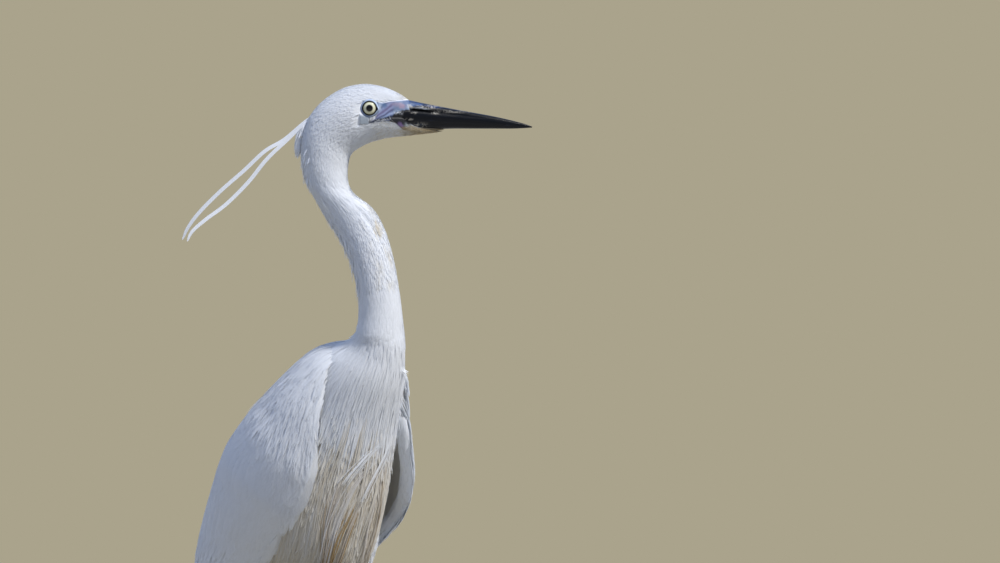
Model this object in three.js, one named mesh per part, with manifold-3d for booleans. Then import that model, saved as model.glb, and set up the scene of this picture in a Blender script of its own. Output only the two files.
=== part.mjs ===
// Little egret, life size, standing alert with its head turned side-on.
// Millimetres, +Z up. The bill points along +X; the body faces between +X and -Y.
import * as THREE from "three";
import { mergeVertices } from "three/addons/utils/BufferGeometryUtils.js";
import Module from "manifold-3d";

const wasm = await Module();
wasm.setup();
const { Manifold, Mesh } = wasm;

// Driving sizes of the bird
const BODY_YAW = 42; // degrees that the body is turned from the head's direction
const BODY_PITCH = 53; // degrees that the body's axis rises from level
const BODY_CENTRE = [6.8, 0, 285.6];
const TARSUS = 103;
const TOE_HEIGHT = 8; // height of the toe joint over the floor
const EYE = { x: 47.4, z: 528, radius: 6.5, showing: 5.1 };
const HEAD_Y = -22; // depth of the head's middle plane
const GAP = 0.3; // between touching pieces
const AROUND = 20; // facets round the neck and body

// Frame of the body: forward, left and dorsal directions
const yaw = THREE.MathUtils.degToRad(BODY_YAW);
const pitch = THREE.MathUtils.degToRad(BODY_PITCH);
const heading = new THREE.Vector3(Math.cos(yaw), -Math.sin(yaw), 0);
const left = new THREE.Vector3(Math.sin(yaw), Math.cos(yaw), 0);
const up = new THREE.Vector3(0, 0, 1);
const forward = heading.clone().multiplyScalar(Math.cos(pitch)).addScaledVector(up, Math.sin(pitch));
const dorsal = forward.clone().cross(left);
const centre = new THREE.Vector3(...BODY_CENTRE);

const rad = THREE.MathUtils.degToRad;
const lerp = THREE.MathUtils.lerp;
const random = seededRandom(7);

function seededRandom(seed) {
  let state = seed;
  return () => {
    state = (state * 1664525 + 1013904223) % 4294967296;
    return state / 4294967296;
  };
}

// A value that follows [position, value, value, ...] rows, eased between them
function follow(rows, at) {
  const last = rows.length - 1;
  const descending = rows[0][0] > rows[last][0];
  let i = 0;
  while (i < last - 1 && (descending ? at < rows[i + 1][0] : at > rows[i + 1][0])) i++;
  const share = THREE.MathUtils.clamp((at - rows[i][0]) / (rows[i + 1][0] - rows[i][0]), 0, 1);
  return rows[i].slice(1).map((value, k) => lerp(value, rows[i + 1][k + 1], share));
}

// Solids from rings of points, and between three.js and manifold-3d
function solid(geometry) {
  const bare = new THREE.BufferGeometry();
  bare.setAttribute("position", geometry.getAttribute("position"));
  bare.setIndex(geometry.index);
  const merged = mergeVertices(bare, 1e-4);
  const vertProperties = merged.attributes.position.array;
  const triVerts = new Uint32Array(merged.index.array);
  return new Manifold(new Mesh({ numProp: 3, vertProperties, triVerts }));
}

function loft(rings, apex) {
  const n = rings[0].length;
  const points = rings.flat();
  const faces = [];
  for (let r = 0; r < rings.length - 1; r++) {
    for (let k = 0; k < n; k++) {
      const a = r * n + k;
      const b = r * n + ((k + 1) % n);
      if (k < n / 2) faces.push(a, b, b + n, a, b + n, a + n);
      else faces.push(a, b, a + n, b, b + n, a + n);
    }
  }
  const middle = (ring) => ring.reduce((sum, p) => sum.add(p), new THREE.Vector3()).divideScalar(n);
  const lastRing = (rings.length - 1) * n;
  points.push(middle(rings[0]), apex ?? middle(rings[rings.length - 1]));
  for (let k = 0; k < n; k++) {
    const next = (k + 1) % n;
    faces.push(points.length - 2, next, k, points.length - 1, lastRing + k, lastRing + next);
  }
  const geometry = new THREE.BufferGeometry().setFromPoints(points);
  geometry.setIndex(faces);
  const made = solid(geometry);
  if (made.volume() >= 0) return made;
  const turned = faces.map((_, i) => faces[i - (i % 3) + (2 - (i % 3))]);
  geometry.setIndex(turned);
  return solid(geometry);
}

function largest(manifold) {
  return manifold.decompose().sort((a, b) => b.volume() - a.volume())[0];
}

function join(pieces) {
  return largest(Manifold.union(pieces));
}

// The head, neck and body are one run of ribs, from the bill's base to the tail's base.
// A rib of the head or neck: its back and front points (x, z), half width, depth and turn.
const NECK_RIBS = [
  // back x, z, front x, z, half width, y, yaw
  [74.1, 533.8, 73.0, 511.0, 7.5, -22, 0],
  [66.6, 538.6, 66.0, 509.2, 9.8, -22, 0],
  [57.1, 542.6, 57.8, 507.8, 12.4, -22, 0],
  [44.9, 544.7, 48.3, 505.2, 14.6, -22, 0],
  [32.6, 543.0, 40.8, 501.5, 15.8, -22, 0],
  [21.8, 537.9, 36.7, 498.8, 16.0, -22, 0],
  [12.2, 530.1, 34.5, 496.2, 15.6, -22, 0],
  [5.4, 520.9, 33.4, 493.2, 15.0, -22, 2],
  [1.7, 510.7, 32.8, 489.6, 14.4, -22.5, 4],
  [0.3, 499.8, 32.4, 484.8, 13.8, -23, 6],
  [1.4, 487.6, 32.6, 479.4, 13.4, -24, 8],
  [4.1, 476.7, 34.3, 474.0, 13.2, -25, 10],
  [9.5, 467.2, 37.9, 469.0, 13.2, -27, 13],
  [17.0, 453.6, 49.0, 461.0, 13.6, -30, 17],
  [25.8, 440.0, 57.1, 448.1, 13.8, -35, 21],
  [33.3, 425.0, 62.6, 431.8, 14.0, -39, 25],
  [38.1, 408.7, 66.6, 412.1, 14.2, -42, 30],
  [40.1, 392.4, 69.0, 392.4, 14.8, -43.5, 34],
  [39.1, 376.0, 70.0, 374.7, 17.0, -43.5, 38],
];
// A rib of the body: its dorsal and ventral points along and above the body's axis, and half width.
const BODY_RIBS = [
  [92, 19, 112, -16, 17.5],
  [85, 26, 101, -22, 21],
  [75, 33, 89, -28, 27],
  [57, 40.5, 66, -36, 33],
  [28, 45, 36, -49, 39.5],
  [0, 47, 3, -62, 45],
  [-30, 45, -30, -72, 45],
  [-58, 39, -56, -68, 38],
  [-82, 29, -78, -50, 29],
  [-100, 20, -96, -27, 18],
  [-108, 12, -106, -11, 10],
];

function neckRib([backX, backZ, frontX, frontZ, halfWidth, y, turn]) {
  const turned = new THREE.Vector3(Math.cos(rad(turn)), -Math.sin(rad(turn)), 0);
  const across = new THREE.Vector3(Math.sin(rad(turn)), Math.cos(rad(turn)), 0);
  const middle = new THREE.Vector3((backX + frontX) / 2, y, (backZ + frontZ) / 2);
  const half = turned.multiplyScalar((frontX - backX) / 2).addScaledVector(up, (frontZ - backZ) / 2);
  return { middle, half, across: across.multiplyScalar(halfWidth) };
}

function bodyPoint(along, above, aside = 0) {
  const onAxis = centre.clone().addScaledVector(forward, along);
  return onAxis.addScaledVector(dorsal, above).addScaledVector(left, aside);
}

function bodyRib([backAlong, backAbove, frontAlong, frontAbove, halfWidth]) {
  const back = bodyPoint(backAlong, backAbove);
  const front = bodyPoint(frontAlong, frontAbove);
  const middle = back.clone().add(front).divideScalar(2);
  return { middle, half: front.sub(back).divideScalar(2), across: left.clone().multiplyScalar(halfWidth) };
}

const ribs = [...NECK_RIBS.map(neckRib), ...BODY_RIBS.map(bodyRib)];
const [middles, halves, acrosses] = ["middle", "half", "across"].map(
  (key) => new THREE.CatmullRomCurve3(ribs.map((rib) => rib[key]), false, "catmullrom", 0.5),
);
const RIBS = ribs.length - 1;
const HEAD_END = 8.4;
const UPPER_END = 12.7;
const MIDDLE_END = 15.5;
const LOWER_END = 18.6;

// A point of the body's surface: rib number, angle from the back line towards the bird's left, lift
function skinPoint(rib, angle, lift = 0) {
  const t = THREE.MathUtils.clamp(rib / RIBS, 0, 1);
  const half = halves.getPoint(t);
  const across = acrosses.getPoint(t);
  const grown = (v) => v.clone().setLength(v.length() + lift);
  return middles
    .getPoint(t)
    .addScaledVector(grown(half), -Math.cos(rad(angle)))
    .addScaledVector(grown(across), Math.sin(rad(angle)));
}

function skinRing(rib, lift, shift = 0) {
  const t = rib / RIBS;
  const normal = halves.getPoint(t).cross(acrosses.getPoint(t)).normalize();
  if (normal.dot(middles.getTangent(t)) < 0) normal.negate();
  return Array.from({ length: AROUND }, (_, k) =>
    skinPoint(rib, (k * 360) / AROUND, lift).addScaledVector(normal, shift),
  );
}

// A length of the body between two ribs; its first face stands a gap clear of the piece before it
function bodyLength(from, to, step, lift = 0) {
  const count = Math.max(2, Math.round((to - from) / step));
  const rings = [];
  for (let i = 0; i <= count; i++) {
    rings.push(skinRing(lerp(from, to, i / count), lift, i === 0 && from > 0 ? GAP : 0));
  }
  return loft(rings);
}

// A flat tapered piece, such as a lock or a vane, on a path of {point, out, width} stations
function blade(stations, thickness) {
  const n = stations.length;
  const rings = [];
  for (let i = 0; i < n - 1; i++) {
    const { point, out, width } = stations[i];
    const ahead = stations[Math.min(i + 1, n - 1)].point.clone().sub(stations[Math.max(i - 1, 0)].point);
    const side = ahead.cross(out).normalize();
    const skin = thickness * (1 - (0.35 * i) / n);
    const at = (across, lift) =>
      point.clone().addScaledVector(side, (across * width) / 2).addScaledVector(out, lift * skin);
    rings.push([at(-1, -0.5), at(1, -0.5), at(1, 0.5), at(-1, 0.5)]);
  }
  return loft(rings, stations[n - 1].point);
}

// Width of a feather along its length, as a share of its widest
function featherWidth(share, blunt) {
  const rise = Math.min(1, 0.45 + share * 2.2);
  const fall = Math.sqrt(Math.max(0.02, 1 - Math.pow(share, blunt)));
  return rise * fall;
}

// Eyes, lids and the head
function eyeCentre(sign) {
  const t = 3 / RIBS;
  const halfWidth = acrosses.getPoint(t).length() * 0.97;
  const sunk = Math.sqrt(EYE.radius ** 2 - EYE.showing ** 2);
  return new THREE.Vector3(EYE.x, HEAD_Y + sign * (halfWidth - sunk), EYE.z);
}

function ball(radius, at) {
  const geometry = new THREE.SphereGeometry(radius, 14, 9).deleteAttribute("normal").deleteAttribute("uv");
  geometry.rotateX(Math.PI / 2 + 0.01).translate(at.x, at.y, at.z);
  return solid(geometry);
}

function lid(sign) {
  const at = eyeCentre(sign);
  const geometry = new THREE.TorusGeometry(EYE.showing + 0.5, 0.8, 5, 16).rotateX(Math.PI / 2);
  geometry.deleteAttribute("normal").deleteAttribute("uv");
  geometry.translate(at.x, at.y + sign * Math.sqrt(EYE.radius ** 2 - EYE.showing ** 2), at.z);
  return solid(geometry);
}

// The bill. Rows: x, z of the culmen, z of the mouth line, half width, z of the lower edge
const BILL = [
  [74.3, 533.6, 521.6, 6.6, 514.4],
  [82, 532.0, 521.3, 6.1, 513.6],
  [92, 530.0, 520.9, 5.3, 513.9],
  [104, 527.7, 520.2, 4.5, 514.3],
  [118, 525.2, 519.4, 3.7, 514.3],
  [132, 522.6, 518.2, 2.9, 514.3],
  [144, 519.9, 517.0, 2.0, 514.3],
  [152, 517.8, 516.0, 1.1, 514.6],
];
const BILL_TIP = [158, 515.4];

function billHalf(upper) {
  const rings = BILL.map(([x, culmen, mouth, halfWidth, gonys]) => {
    const flat = mouth + (upper ? GAP / 2 : -GAP / 2);
    const peak = upper ? culmen : gonys;
    const shape = [
      [-1, 0],
      [-1, 0.45],
      [-0.62, 0.86],
      [0, 1],
      [0.62, 0.86],
      [1, 0.45],
      [1, 0],
    ];
    return shape.map(
      ([side, rise]) => new THREE.Vector3(x, HEAD_Y + side * halfWidth, lerp(flat, peak, rise)),
    );
  });
  const tip = new THREE.Vector3(BILL_TIP[0] - (upper ? 0 : 2), HEAD_Y, BILL_TIP[1] + (upper ? GAP : -GAP));
  return loft(rings, tip);
}

function boxBetween(low, high) {
  const size = high.clone().sub(low);
  const geometry = new THREE.BoxGeometry(size.x, size.y, size.z);
  geometry.deleteAttribute("normal").deleteAttribute("uv");
  const at = low.clone().add(high).divideScalar(2);
  return solid(geometry.translate(at.x, at.y, at.z));
}

// A slot along each side of the upper bill for the nostril
const NOSTRIL = { from: 79, to: 91, z: 526.6, drop: 1.1, height: 1.3, depth: 1.2 };

function nostril(sign) {
  const long = NOSTRIL.to - NOSTRIL.from;
  const width = follow(BILL.map((row) => [row[0], row[3]]), NOSTRIL.from + long / 2)[0];
  const geometry = new THREE.BoxGeometry(long, 2 * NOSTRIL.depth, NOSTRIL.height);
  geometry.deleteAttribute("normal").deleteAttribute("uv");
  geometry.rotateY(Math.atan2(NOSTRIL.drop, long));
  geometry.translate(NOSTRIL.from + long / 2, HEAD_Y + sign * width * 0.9, NOSTRIL.z);
  return solid(geometry);
}

// The mouth line runs back from the bill to the gape, under the eye
const GAPE = [46.9, 518];

function mouthGroove(sign) {
  const rows = [
    [76, 521.6],
    [66, 521.4],
    [57, 520.2],
    GAPE,
  ];
  const rings = rows.map(([x, z], i) => {
    const halfWidth = [7.5, 9.6, 12.4, 13.9][i];
    const tall = i === rows.length - 1 ? 0.2 : 0.45;
    const inside = HEAD_Y + sign * (halfWidth - 1.6);
    const outside = HEAD_Y + sign * (halfWidth + 4);
    return [
      new THREE.Vector3(x, inside, z - tall),
      new THREE.Vector3(x, outside, z - tall),
      new THREE.Vector3(x, outside, z + tall),
      new THREE.Vector3(x, inside, z + tall),
    ];
  });
  return loft(rings);
}

// The feathered chin under the lower half of the bill
function chin() {
  const rows = [
    [66, 513, 8.4, 3.6],
    [74, 513, 7.2, 3.6],
    [81, 513.2, 5.2, 3.2],
    [88, 513.4, 3.2, 1.8],
  ];
  const rings = rows.map(([x, top, halfWidth, deep]) => [
    new THREE.Vector3(x, HEAD_Y - halfWidth, top),
    new THREE.Vector3(x, HEAD_Y, top),
    new THREE.Vector3(x, HEAD_Y + halfWidth, top),
    new THREE.Vector3(x, HEAD_Y + halfWidth * 0.6, top - deep * 0.8),
    new THREE.Vector3(x, HEAD_Y, top - deep),
    new THREE.Vector3(x, HEAD_Y - halfWidth * 0.6, top - deep * 0.8),
  ]);
  return loft(rings, new THREE.Vector3(94, HEAD_Y, 513.5));
}

// The two long plumes of the nape, as points (x, z), and their depth at root and tip
const NAPE_PLUMES = [
  {
    path: [[16, 520], [7, 521.5], [-10, 507.5], [-24, 499.5], [-38, 488], [-54, 474], [-68, 459], [-76, 448]],
    tip: [-80.2, 438.5],
    y: [-21, -18],
  },
  {
    path: [[16, 517], [5, 518.5], [-10, 505.5], [-23, 493], [-35, 478], [-50, 463], [-64, 452.5], [-73, 444.5]],
    tip: [-76.6, 437.5],
    y: [-23.5, -29],
  },
];

function napePlume({ path, tip, y }) {
  const points = [...path, tip].map(([x, z], i, all) => {
    return new THREE.Vector3(x, lerp(y[0], y[1], i / (all.length - 1)), z);
  });
  const outward = new THREE.Vector3(0.1, -1, 0.25).normalize();
  const widths = [3, 3.6, 4.2, 3.4, 3.8, 3.8, 3.4, 2.4, 0];
  return blade(points.map((point, i) => ({ point, out: outward, width: widths[i] })), 1.0);
}

// Short lanceolate feathers that hang from the nape behind the neck
function napeTuft() {
  return [-3.2, 0, 3.2].map((aside, i) => {
    const y = HEAD_Y + aside;
    const drop = 18 + 3 * Math.cos(i * 2);
    const path = [[6, 512], [0.8, 512], [-2.8, 512 - drop * 0.55]];
    const stations = path.map(([x, z], k) => ({
      point: new THREE.Vector3(x, y, z),
      out: new THREE.Vector3(-0.9, 0, 0.43),
      width: [3.2, 3.4, 3][k],
    }));
    stations.push({ point: new THREE.Vector3(-2.4, y, 512 - drop), out: left, width: 0 });
    return blade(stations, 0.9);
  });
}

function head() {
  const skull = bodyLength(0, HEAD_END, 0.6);
  const whole = join([skull, lid(1), lid(-1), chin(), ...NAPE_PLUMES.map(napePlume), ...napeTuft()]);
  const sockets = [ball(EYE.radius + GAP, eyeCentre(1)), ball(EYE.radius + GAP, eyeCentre(-1))];
  return largest(whole.subtract(Manifold.union([...sockets, mouthGroove(1), mouthGroove(-1)])));
}

// The bill stands a gap clear of the head's front face
function bill(upper) {
  const nostrils = upper ? [nostril(1), nostril(-1)] : [];
  const front = skinRing(0, 0, 0);
  const moved = (x) => front.map((p) => p.clone().setX(p.x + x));
  const behind = loft([moved(GAP), moved(-20)]);
  return largest(billHalf(upper).subtract(Manifold.union([behind, ...nostrils])));
}

// The folded wings: a cloak round the body, by distance along the body's axis.
// Rows: along, above, half height, half width
const CLOAK = [
  [98, 8, 10, 12],
  [88, 8, 17, 20],
  [83, 7, 25, 30],
  [73, 5, 31.5, 37],
  [64, 4, 36, 41],
  [48, 2, 42.5, 47],
  [32, 0, 48.5, 51],
  [16, -1, 54, 56],
  [0, -1, 56, 58],
  [-14, -1, 57, 59],
  [-39, -1, 53.5, 55.5],
  [-63, -2, 49, 51],
  [-87, -3, 44.5, 46.5],
  [-104, -4, 40, 41.5],
  [-130, -8, 31, 33],
  [-165, -15, 20, 22],
  [-195, -22, 10, 12],
  [-210, -26, 4.5, 6],
];
// The wing's lower edge, by distance along the axis: degrees below the side
const LOWER_EDGE = [
  [98, 20],
  [90, 5],
  [75, -8],
  [46, -30],
  [0, -46],
  [-60, -42],
  [-130, -40],
  [-210, -40],
];
const WING_TOP = 74; // degrees above the side where the wing ends, near the back line
const WING_TIP = -207;
const WING_FRONT = 80;
// How far the lower edges hang out from the body, by distance along the axis: right wing, left wing
const HANG_OPEN = [
  [98, 0, 10],
  [83, 0, 15],
  [73, 0, 13],
  [46, 2, 12],
  [20, 3, 20],
  [0, 3, 26],
  [-22, 3, 28],
  [-45, 3, 24],
  [-75, 2, 14],
  [-110, 0, 5],
  [-150, 0, 0],
];

function cloakPoint(sign, along, angle, lift = 0) {
  const [above, high, wide] = follow(CLOAK, along);
  const lower = THREE.MathUtils.smoothstep(60 - angle, 0, 80);
  const open = lower * follow(HANG_OPEN, along)[sign > 0 ? 1 : 0];
  const aside = (wide + lift) * Math.cos(rad(angle)) + open;
  return bodyPoint(along, above + (high + lift) * Math.sin(rad(angle)), sign * aside);
}

// Near the back line the wings lie deeper, under the plumes of the back
function underPlumes(angle) {
  return 2.4 * THREE.MathUtils.smoothstep(angle, 48, 72);
}

function cloakOut(sign, along, angle) {
  return cloakPoint(sign, along, angle, 5).sub(cloakPoint(sign, along, angle, 0)).normalize();
}

// Thickness of the wing's arm and hand, by distance along the axis
const WING_DEPTH = [
  [98, 22],
  [80, 22],
  [60, 13],
  [40, 11],
  [-20, 10],
  [-60, 7],
  [-90, 3],
  [-210, 1.6],
];

function wingShell(sign, from, to, step, outer) {
  const arc = 7;
  const rings = [];
  const count = Math.round((from - to) / step);
  for (let i = 0; i <= count; i++) {
    const along = lerp(from, to, i / count);
    const low = follow(LOWER_EDGE, along)[0];
    const [deep] = follow(WING_DEPTH, along);
    const ends = Math.min(1, (i + 0.6) / 2.2);
    const ring = [];
    for (let k = 0; k <= arc; k++) {
      const angle = lerp(low, WING_TOP, k / arc);
      ring.push(cloakPoint(sign, along, angle, outer - underPlumes(angle)));
    }
    for (let k = arc; k >= 0; k--) {
      const taper = Math.sin(Math.PI * Math.min(0.5, (k + 0.45) / (arc * 0.6)));
      const depth = Math.max(1, deep * ends * taper);
      const angle = lerp(low, WING_TOP, k / arc);
      ring.push(cloakPoint(sign, along, angle, outer - depth - underPlumes(angle)));
    }
    rings.push(ring);
  }
  return loft(rings);
}

// A vane that lies on the wing from its root to its tip, both [along, angle]
function wingVane(sign, root, tip, width, lift, count = 5) {
  const stations = [];
  for (let i = 0; i <= count; i++) {
    const share = i / count;
    const along = lerp(root[0], tip[0], share);
    const angle = lerp(root[1], tip[1], share ** 1.15);
    const height = lerp(lift[0], lift[1], Math.min(1, share * 1.6)) - underPlumes(angle);
    const out = cloakOut(sign, along, angle);
    const up2 = cloakPoint(sign, along, angle + 4).sub(cloakPoint(sign, along, angle)).normalize();
    stations.push({
      point: cloakPoint(sign, along, angle, height),
      out: out.addScaledVector(up2, -0.09).normalize(),
      width: i === count ? 0 : width * featherWidth(share, 4),
    });
  }
  return blade(stations, 0.8);
}

// Tiers of the folded wing, longest and deepest first. Each: number of feathers, then for the first
// (lowest) and last (uppermost) feather its root and tip [along, angle], then width and lifts.
const TIERS = [
  {
    // primaries
    count: 5,
    root: [[-34, -36], [-64, -14]],
    tip: [[-160, -38], [WING_TIP + 2, 12]],
    width: [16, 17],
    lift: [-3.6, -3.2],
    steps: 5,
  },
  {
    // secondaries
    count: 6,
    root: [[-40, -30], [-24, 56]],
    tip: [[-112, -34], [-192, 60]],
    width: [22, 24],
    lift: [-2.9, -1.5],
    steps: 5,
  },
  {
    // greater coverts
    count: 6,
    root: [[16, -32], [6, 60]],
    tip: [[-48, -41], [-86, 58]],
    width: [19, 20],
    lift: [-2.2, -0.5],
    steps: 4,
  },
  {
    // median coverts
    count: 6,
    root: [[42, -20], [38, 60]],
    tip: [[0, -37], [-24, 58]],
    width: [18, 20],
    lift: [-2.0, 0.1],
    steps: 3,
  },
  {
    // lesser coverts
    count: 5,
    root: [[66, -4], [70, 58]],
    tip: [[30, -22], [28, 58]],
    width: [17, 19],
    lift: [-2.0, 0.3],
    steps: 3,
  },
];

function wingVanes(sign) {
  return TIERS.flatMap(({ count, root, tip, width, lift, steps }) =>
    Array.from({ length: count }, (_, i) => {
      const share = i / (count - 1);
      const place = ([first, last], loose) => [
        lerp(first[0], last[0], share) + loose * (random() - 0.5),
        lerp(first[1], last[1], share),
      ];
      return wingVane(sign, place(root, 0), place(tip, 7), lerp(...width, share), lift, steps);
    }),
  );
}

const torsoRoom = bodyLength(15.5, RIBS, 0.5, 2 * GAP);

function wing(sign) {
  const shell = wingShell(sign, WING_FRONT, -70, 21, -1.5);
  const whole = Manifold.union([shell, ...wingVanes(sign)]);
  return largest(whole.subtract(torsoRoom));
}

// The tail: a short block with vanes in one fan, under the wing tips
const TAIL = { root: -108, tip: -188, halfWidth: 11, feathers: 6 };

function tail() {
  const low = (along) => follow(CLOAK, along)[0] - 0.42 * follow(CLOAK, along)[1];
  const base = [TAIL.root, TAIL.root - 12, TAIL.root - 30, TAIL.root - 44].map((along, i) => {
    const above = lerp(2, low(along), [0, 0.35, 0.8, 1][i]);
    const [high, wide] = [
      [9, 9.5],
      [8, 9],
      [4, 8],
      [2, 6],
    ][i];
    return Array.from({ length: 12 }, (_, k) => {
      const a = rad(k * 30);
      return bodyPoint(along - (i === 0 ? GAP : 0), above + high * Math.sin(a), wide * Math.cos(a));
    });
  });
  const vanes = Array.from({ length: TAIL.feathers }, (_, i) => {
    const side = (i / (TAIL.feathers - 1)) * 2 - 1;
    const stations = [];
    for (let k = 0; k <= 4; k++) {
      const share = k / 4;
      const along = lerp(TAIL.root - 20, TAIL.tip + 6 * side * side, share);
      const layer = 1.6 * (1 - Math.abs(side)) * 1.4;
      const above = lerp(lerp(2, low(along), 0.55), low(along), share) + layer - 1.2;
      stations.push({
        point: bodyPoint(along, above, side * lerp(4, TAIL.halfWidth - 4, share)),
        out: dorsal.clone().addScaledVector(left, side * 0.15).normalize(),
        width: k === 4 ? 0 : 11 * featherWidth(share, 5),
      });
    }
    return blade(stations, 0.7);
  });
  return join([loft(base), ...vanes]);
}

// Plumes of the breast hang from the lower neck; those of the back run down over the wings
function skinOut(rib, angle) {
  return skinPoint(rib, angle, 4).sub(skinPoint(rib, angle, 0)).normalize();
}

const BREAST_PLUMES = 17;
const BACK_PLUMES = 9;

function breastPlume(i) {
  const spread = ((i * 0.618) % 1) * 2 - 1;
  const row = i / BREAST_PLUMES;
  const rootRib = lerp(19.2, 21.6, row);
  const rootAngle = 180 + spread * lerp(50, 44, row);
  const drop = lerp(3.6, 3.0, row) + 0.5 * random();
  const count = 4;
  const stations = [];
  for (let k = 0; k <= count; k++) {
    const share = k / count;
    const rib = rootRib + drop * share;
    const angle = 180 + (rootAngle - 180) * lerp(1, 0.62, share);
    const lift = -2 + 4 * Math.min(1, share * 4) + (2 + 8 * row) * share * share;
    const waist = k === count ? 0 : 7.5 * (1 - 0.75 * share);
    stations.push({ point: skinPoint(rib, angle, lift), out: skinOut(rib, angle), width: waist });
  }
  return blade(stations, 1.1);
}

function backPlume(i) {
  const side = (i / (BACK_PLUMES - 1)) * 2 - 1;
  const root = 44 - 20 * Math.abs(side) + 6 * random();
  const tip = -112 - 60 * random();
  const count = 5;
  const stations = [];
  for (let k = 0; k <= count; k++) {
    const share = k / count;
    const along = lerp(root, tip, share);
    const angle = 90 - side * lerp(9, 18, share);
    const curl = 6 * Math.max(0, share - 0.6) ** 2 * 6;
    const lift = lerp(-9, 1.7, Math.min(1, share * 4)) + curl + 0.6 * (i % 2);
    const width = k === count ? 0 : 5 * (1 - 0.7 * share);
    stations.push({ point: cloakPoint(1, along, angle, lift), out: cloakOut(1, along, angle), width });
  }
  return blade(stations, 0.9);
}

// Broad feathers of the mantle, between the wings
function mantleFeather(i) {
  const row = Math.floor(i / 3);
  const side = (i % 3) - 1;
  const stations = [];
  for (let k = 0; k <= 4; k++) {
    const share = k / 4;
    const along = lerp(72 - 24 * row, 34 - 24 * row, share);
    const angle = 90 - side * 7;
    const lift = lerp(-9, -0.9, Math.min(1, share * 2.5));
    const width = k === 4 ? 0 : 9 * featherWidth(share, 4);
    stations.push({ point: cloakPoint(1, along, angle, lift), out: cloakOut(1, along, angle), width });
  }
  return blade(stations, 0.9);
}

function torso() {
  const trunk = bodyLength(LOWER_END, RIBS, 0.5);
  const locks = Array.from({ length: BREAST_PLUMES }, (_, i) => breastPlume(i));
  const plumes = Array.from({ length: BACK_PLUMES }, (_, i) => backPlume(i));
  const mantle = Array.from({ length: 6 }, (_, i) => mantleFeather(i));
  return join([trunk, ...locks, ...plumes, ...mantle]);
}

// Legs. Each joint: distance along the heading, aside and height over the floor
const LEG_SPREAD = 22;
const LEGS = {
  right: { sign: -1, step: -6 },
  left: { sign: 1, step: 20 },
};
const ANKLE_Z = TOE_HEIGHT + TARSUS;

function legPoint(leg, along, z, aside = 0) {
  const base = new THREE.Vector3(BODY_CENTRE[0], BODY_CENTRE[1], 0);
  base.addScaledVector(heading, along).addScaledVector(left, leg.sign * (LEG_SPREAD + aside));
  return base.setZ(z);
}

function tube(points, radii, around, flat = 1) {
  const rings = points.map((point, i) => {
    const ahead = points[Math.min(i + 1, points.length - 1)].clone().sub(points[Math.max(i - 1, 0)]).normalize();
    const side = ahead.clone().cross(heading).normalize();
    const fore = side.clone().cross(ahead);
    return Array.from({ length: around }, (_, k) => {
      const a = (k / around) * 2 * Math.PI;
      return point
        .clone()
        .addScaledVector(fore, radii[i] * Math.cos(a))
        .addScaledVector(side, radii[i] * flat * Math.sin(a));
    });
  });
  return loft(rings);
}

function legPath(leg) {
  const top = legPoint(leg, 4 + leg.step, 246, -2);
  const ankle = legPoint(leg, -22 + leg.step, ANKLE_Z);
  const toe = legPoint(leg, 8 + leg.step, TOE_HEIGHT, 1);
  return { top, ankle, toe, at: (share) => top.clone().lerp(ankle, share) };
}

const THIGH_END = 0.6; // share of the shin that is feathered
const bodyRoom = bodyLength(20, RIBS, 0.5, 2 * GAP);

function thigh(leg) {
  const { at } = legPath(leg);
  const shares = [-0.1, 0.1, 0.25, 0.4, 0.52, THIGH_END];
  const whole = tube(shares.map(at), [19, 18, 14, 9.5, 6.2, 4.4], 12, 0.85);
  return largest(whole.subtract(bodyRoom));
}

function shin(leg) {
  const { at } = legPath(leg);
  const shares = [THIGH_END + 0.0025, 0.72, 0.86, 0.95];
  return tube(shares.map(at), [3.3, 2.7, 2.8, 3.4], 10, 0.85);
}

function shank(leg) {
  const { ankle, toe, top } = legPath(leg);
  const start = ankle.clone().lerp(top, 0.05 - GAP / 150);
  const points = [start, ankle, ...[0.08, 0.3, 0.6, 0.9, 0.96].map((share) => ankle.clone().lerp(toe, share))];
  return tube(points, [3.4, 4.3, 3.7, 2.5, 2.4, 3.0, 3.3], 10, 0.8);
}

// Toes: turn from the heading in degrees, length, joints, radius at root
const TOES = [
  { name: "inner", turn: 24, long: 48, joints: 2 },
  { name: "middle", turn: -3, long: 60, joints: 3 },
  { name: "outer", turn: -30, long: 53, joints: 4 },
  { name: "hind", turn: 172, long: 34, joints: 1 },
];
const CLAW_LENGTH = 8;

function toePath(leg, toe) {
  const { toe: joint } = legPath(leg);
  const turn = -leg.sign * toe.turn;
  const ahead = heading.clone().applyAxisAngle(up, rad(turn));
  return { joint, ahead };
}

function toe(leg, digit) {
  const { joint, ahead } = toePath(leg, digit);
  const side = ahead.clone().cross(up);
  const count = digit.joints + 2;
  const rings = [];
  for (let i = 0; i <= count; i++) {
    const share = i / count;
    const high = (i % 2 === 1 ? 2.5 : 2.05) * lerp(1, 0.72, share);
    const radius = i === 0 ? 2.6 : high;
    const middle = joint.clone().addScaledVector(ahead, digit.long * share);
    const z = lerp(TOE_HEIGHT - 1, radius * 0.92, Math.min(1, share * 4));
    middle.setZ(Math.max(z, radius * 0.92));
    rings.push(
      Array.from({ length: 6 }, (_, k) => {
        const a = rad(k * 60 + 30);
        const p = middle.clone().addScaledVector(side, radius * Math.cos(a)).addScaledVector(up, radius * Math.sin(a));
        return p.setZ(Math.max(0, p.z));
      }),
    );
  }
  return loft(rings);
}

function foot(leg) {
  const { toe: joint, ankle } = legPath(leg);
  const top = ankle.clone().lerp(joint, 0.96);
  const fall = joint.clone().sub(top).normalize();
  const start = top.clone().addScaledVector(fall, GAP);
  const knuckle = tube([start, joint, joint.clone().setZ(2.2)], [3.3, 4.2, 3.6], 10, 0.9);
  return join([knuckle, ...TOES.map((digit) => toe(leg, digit))]);
}

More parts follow.
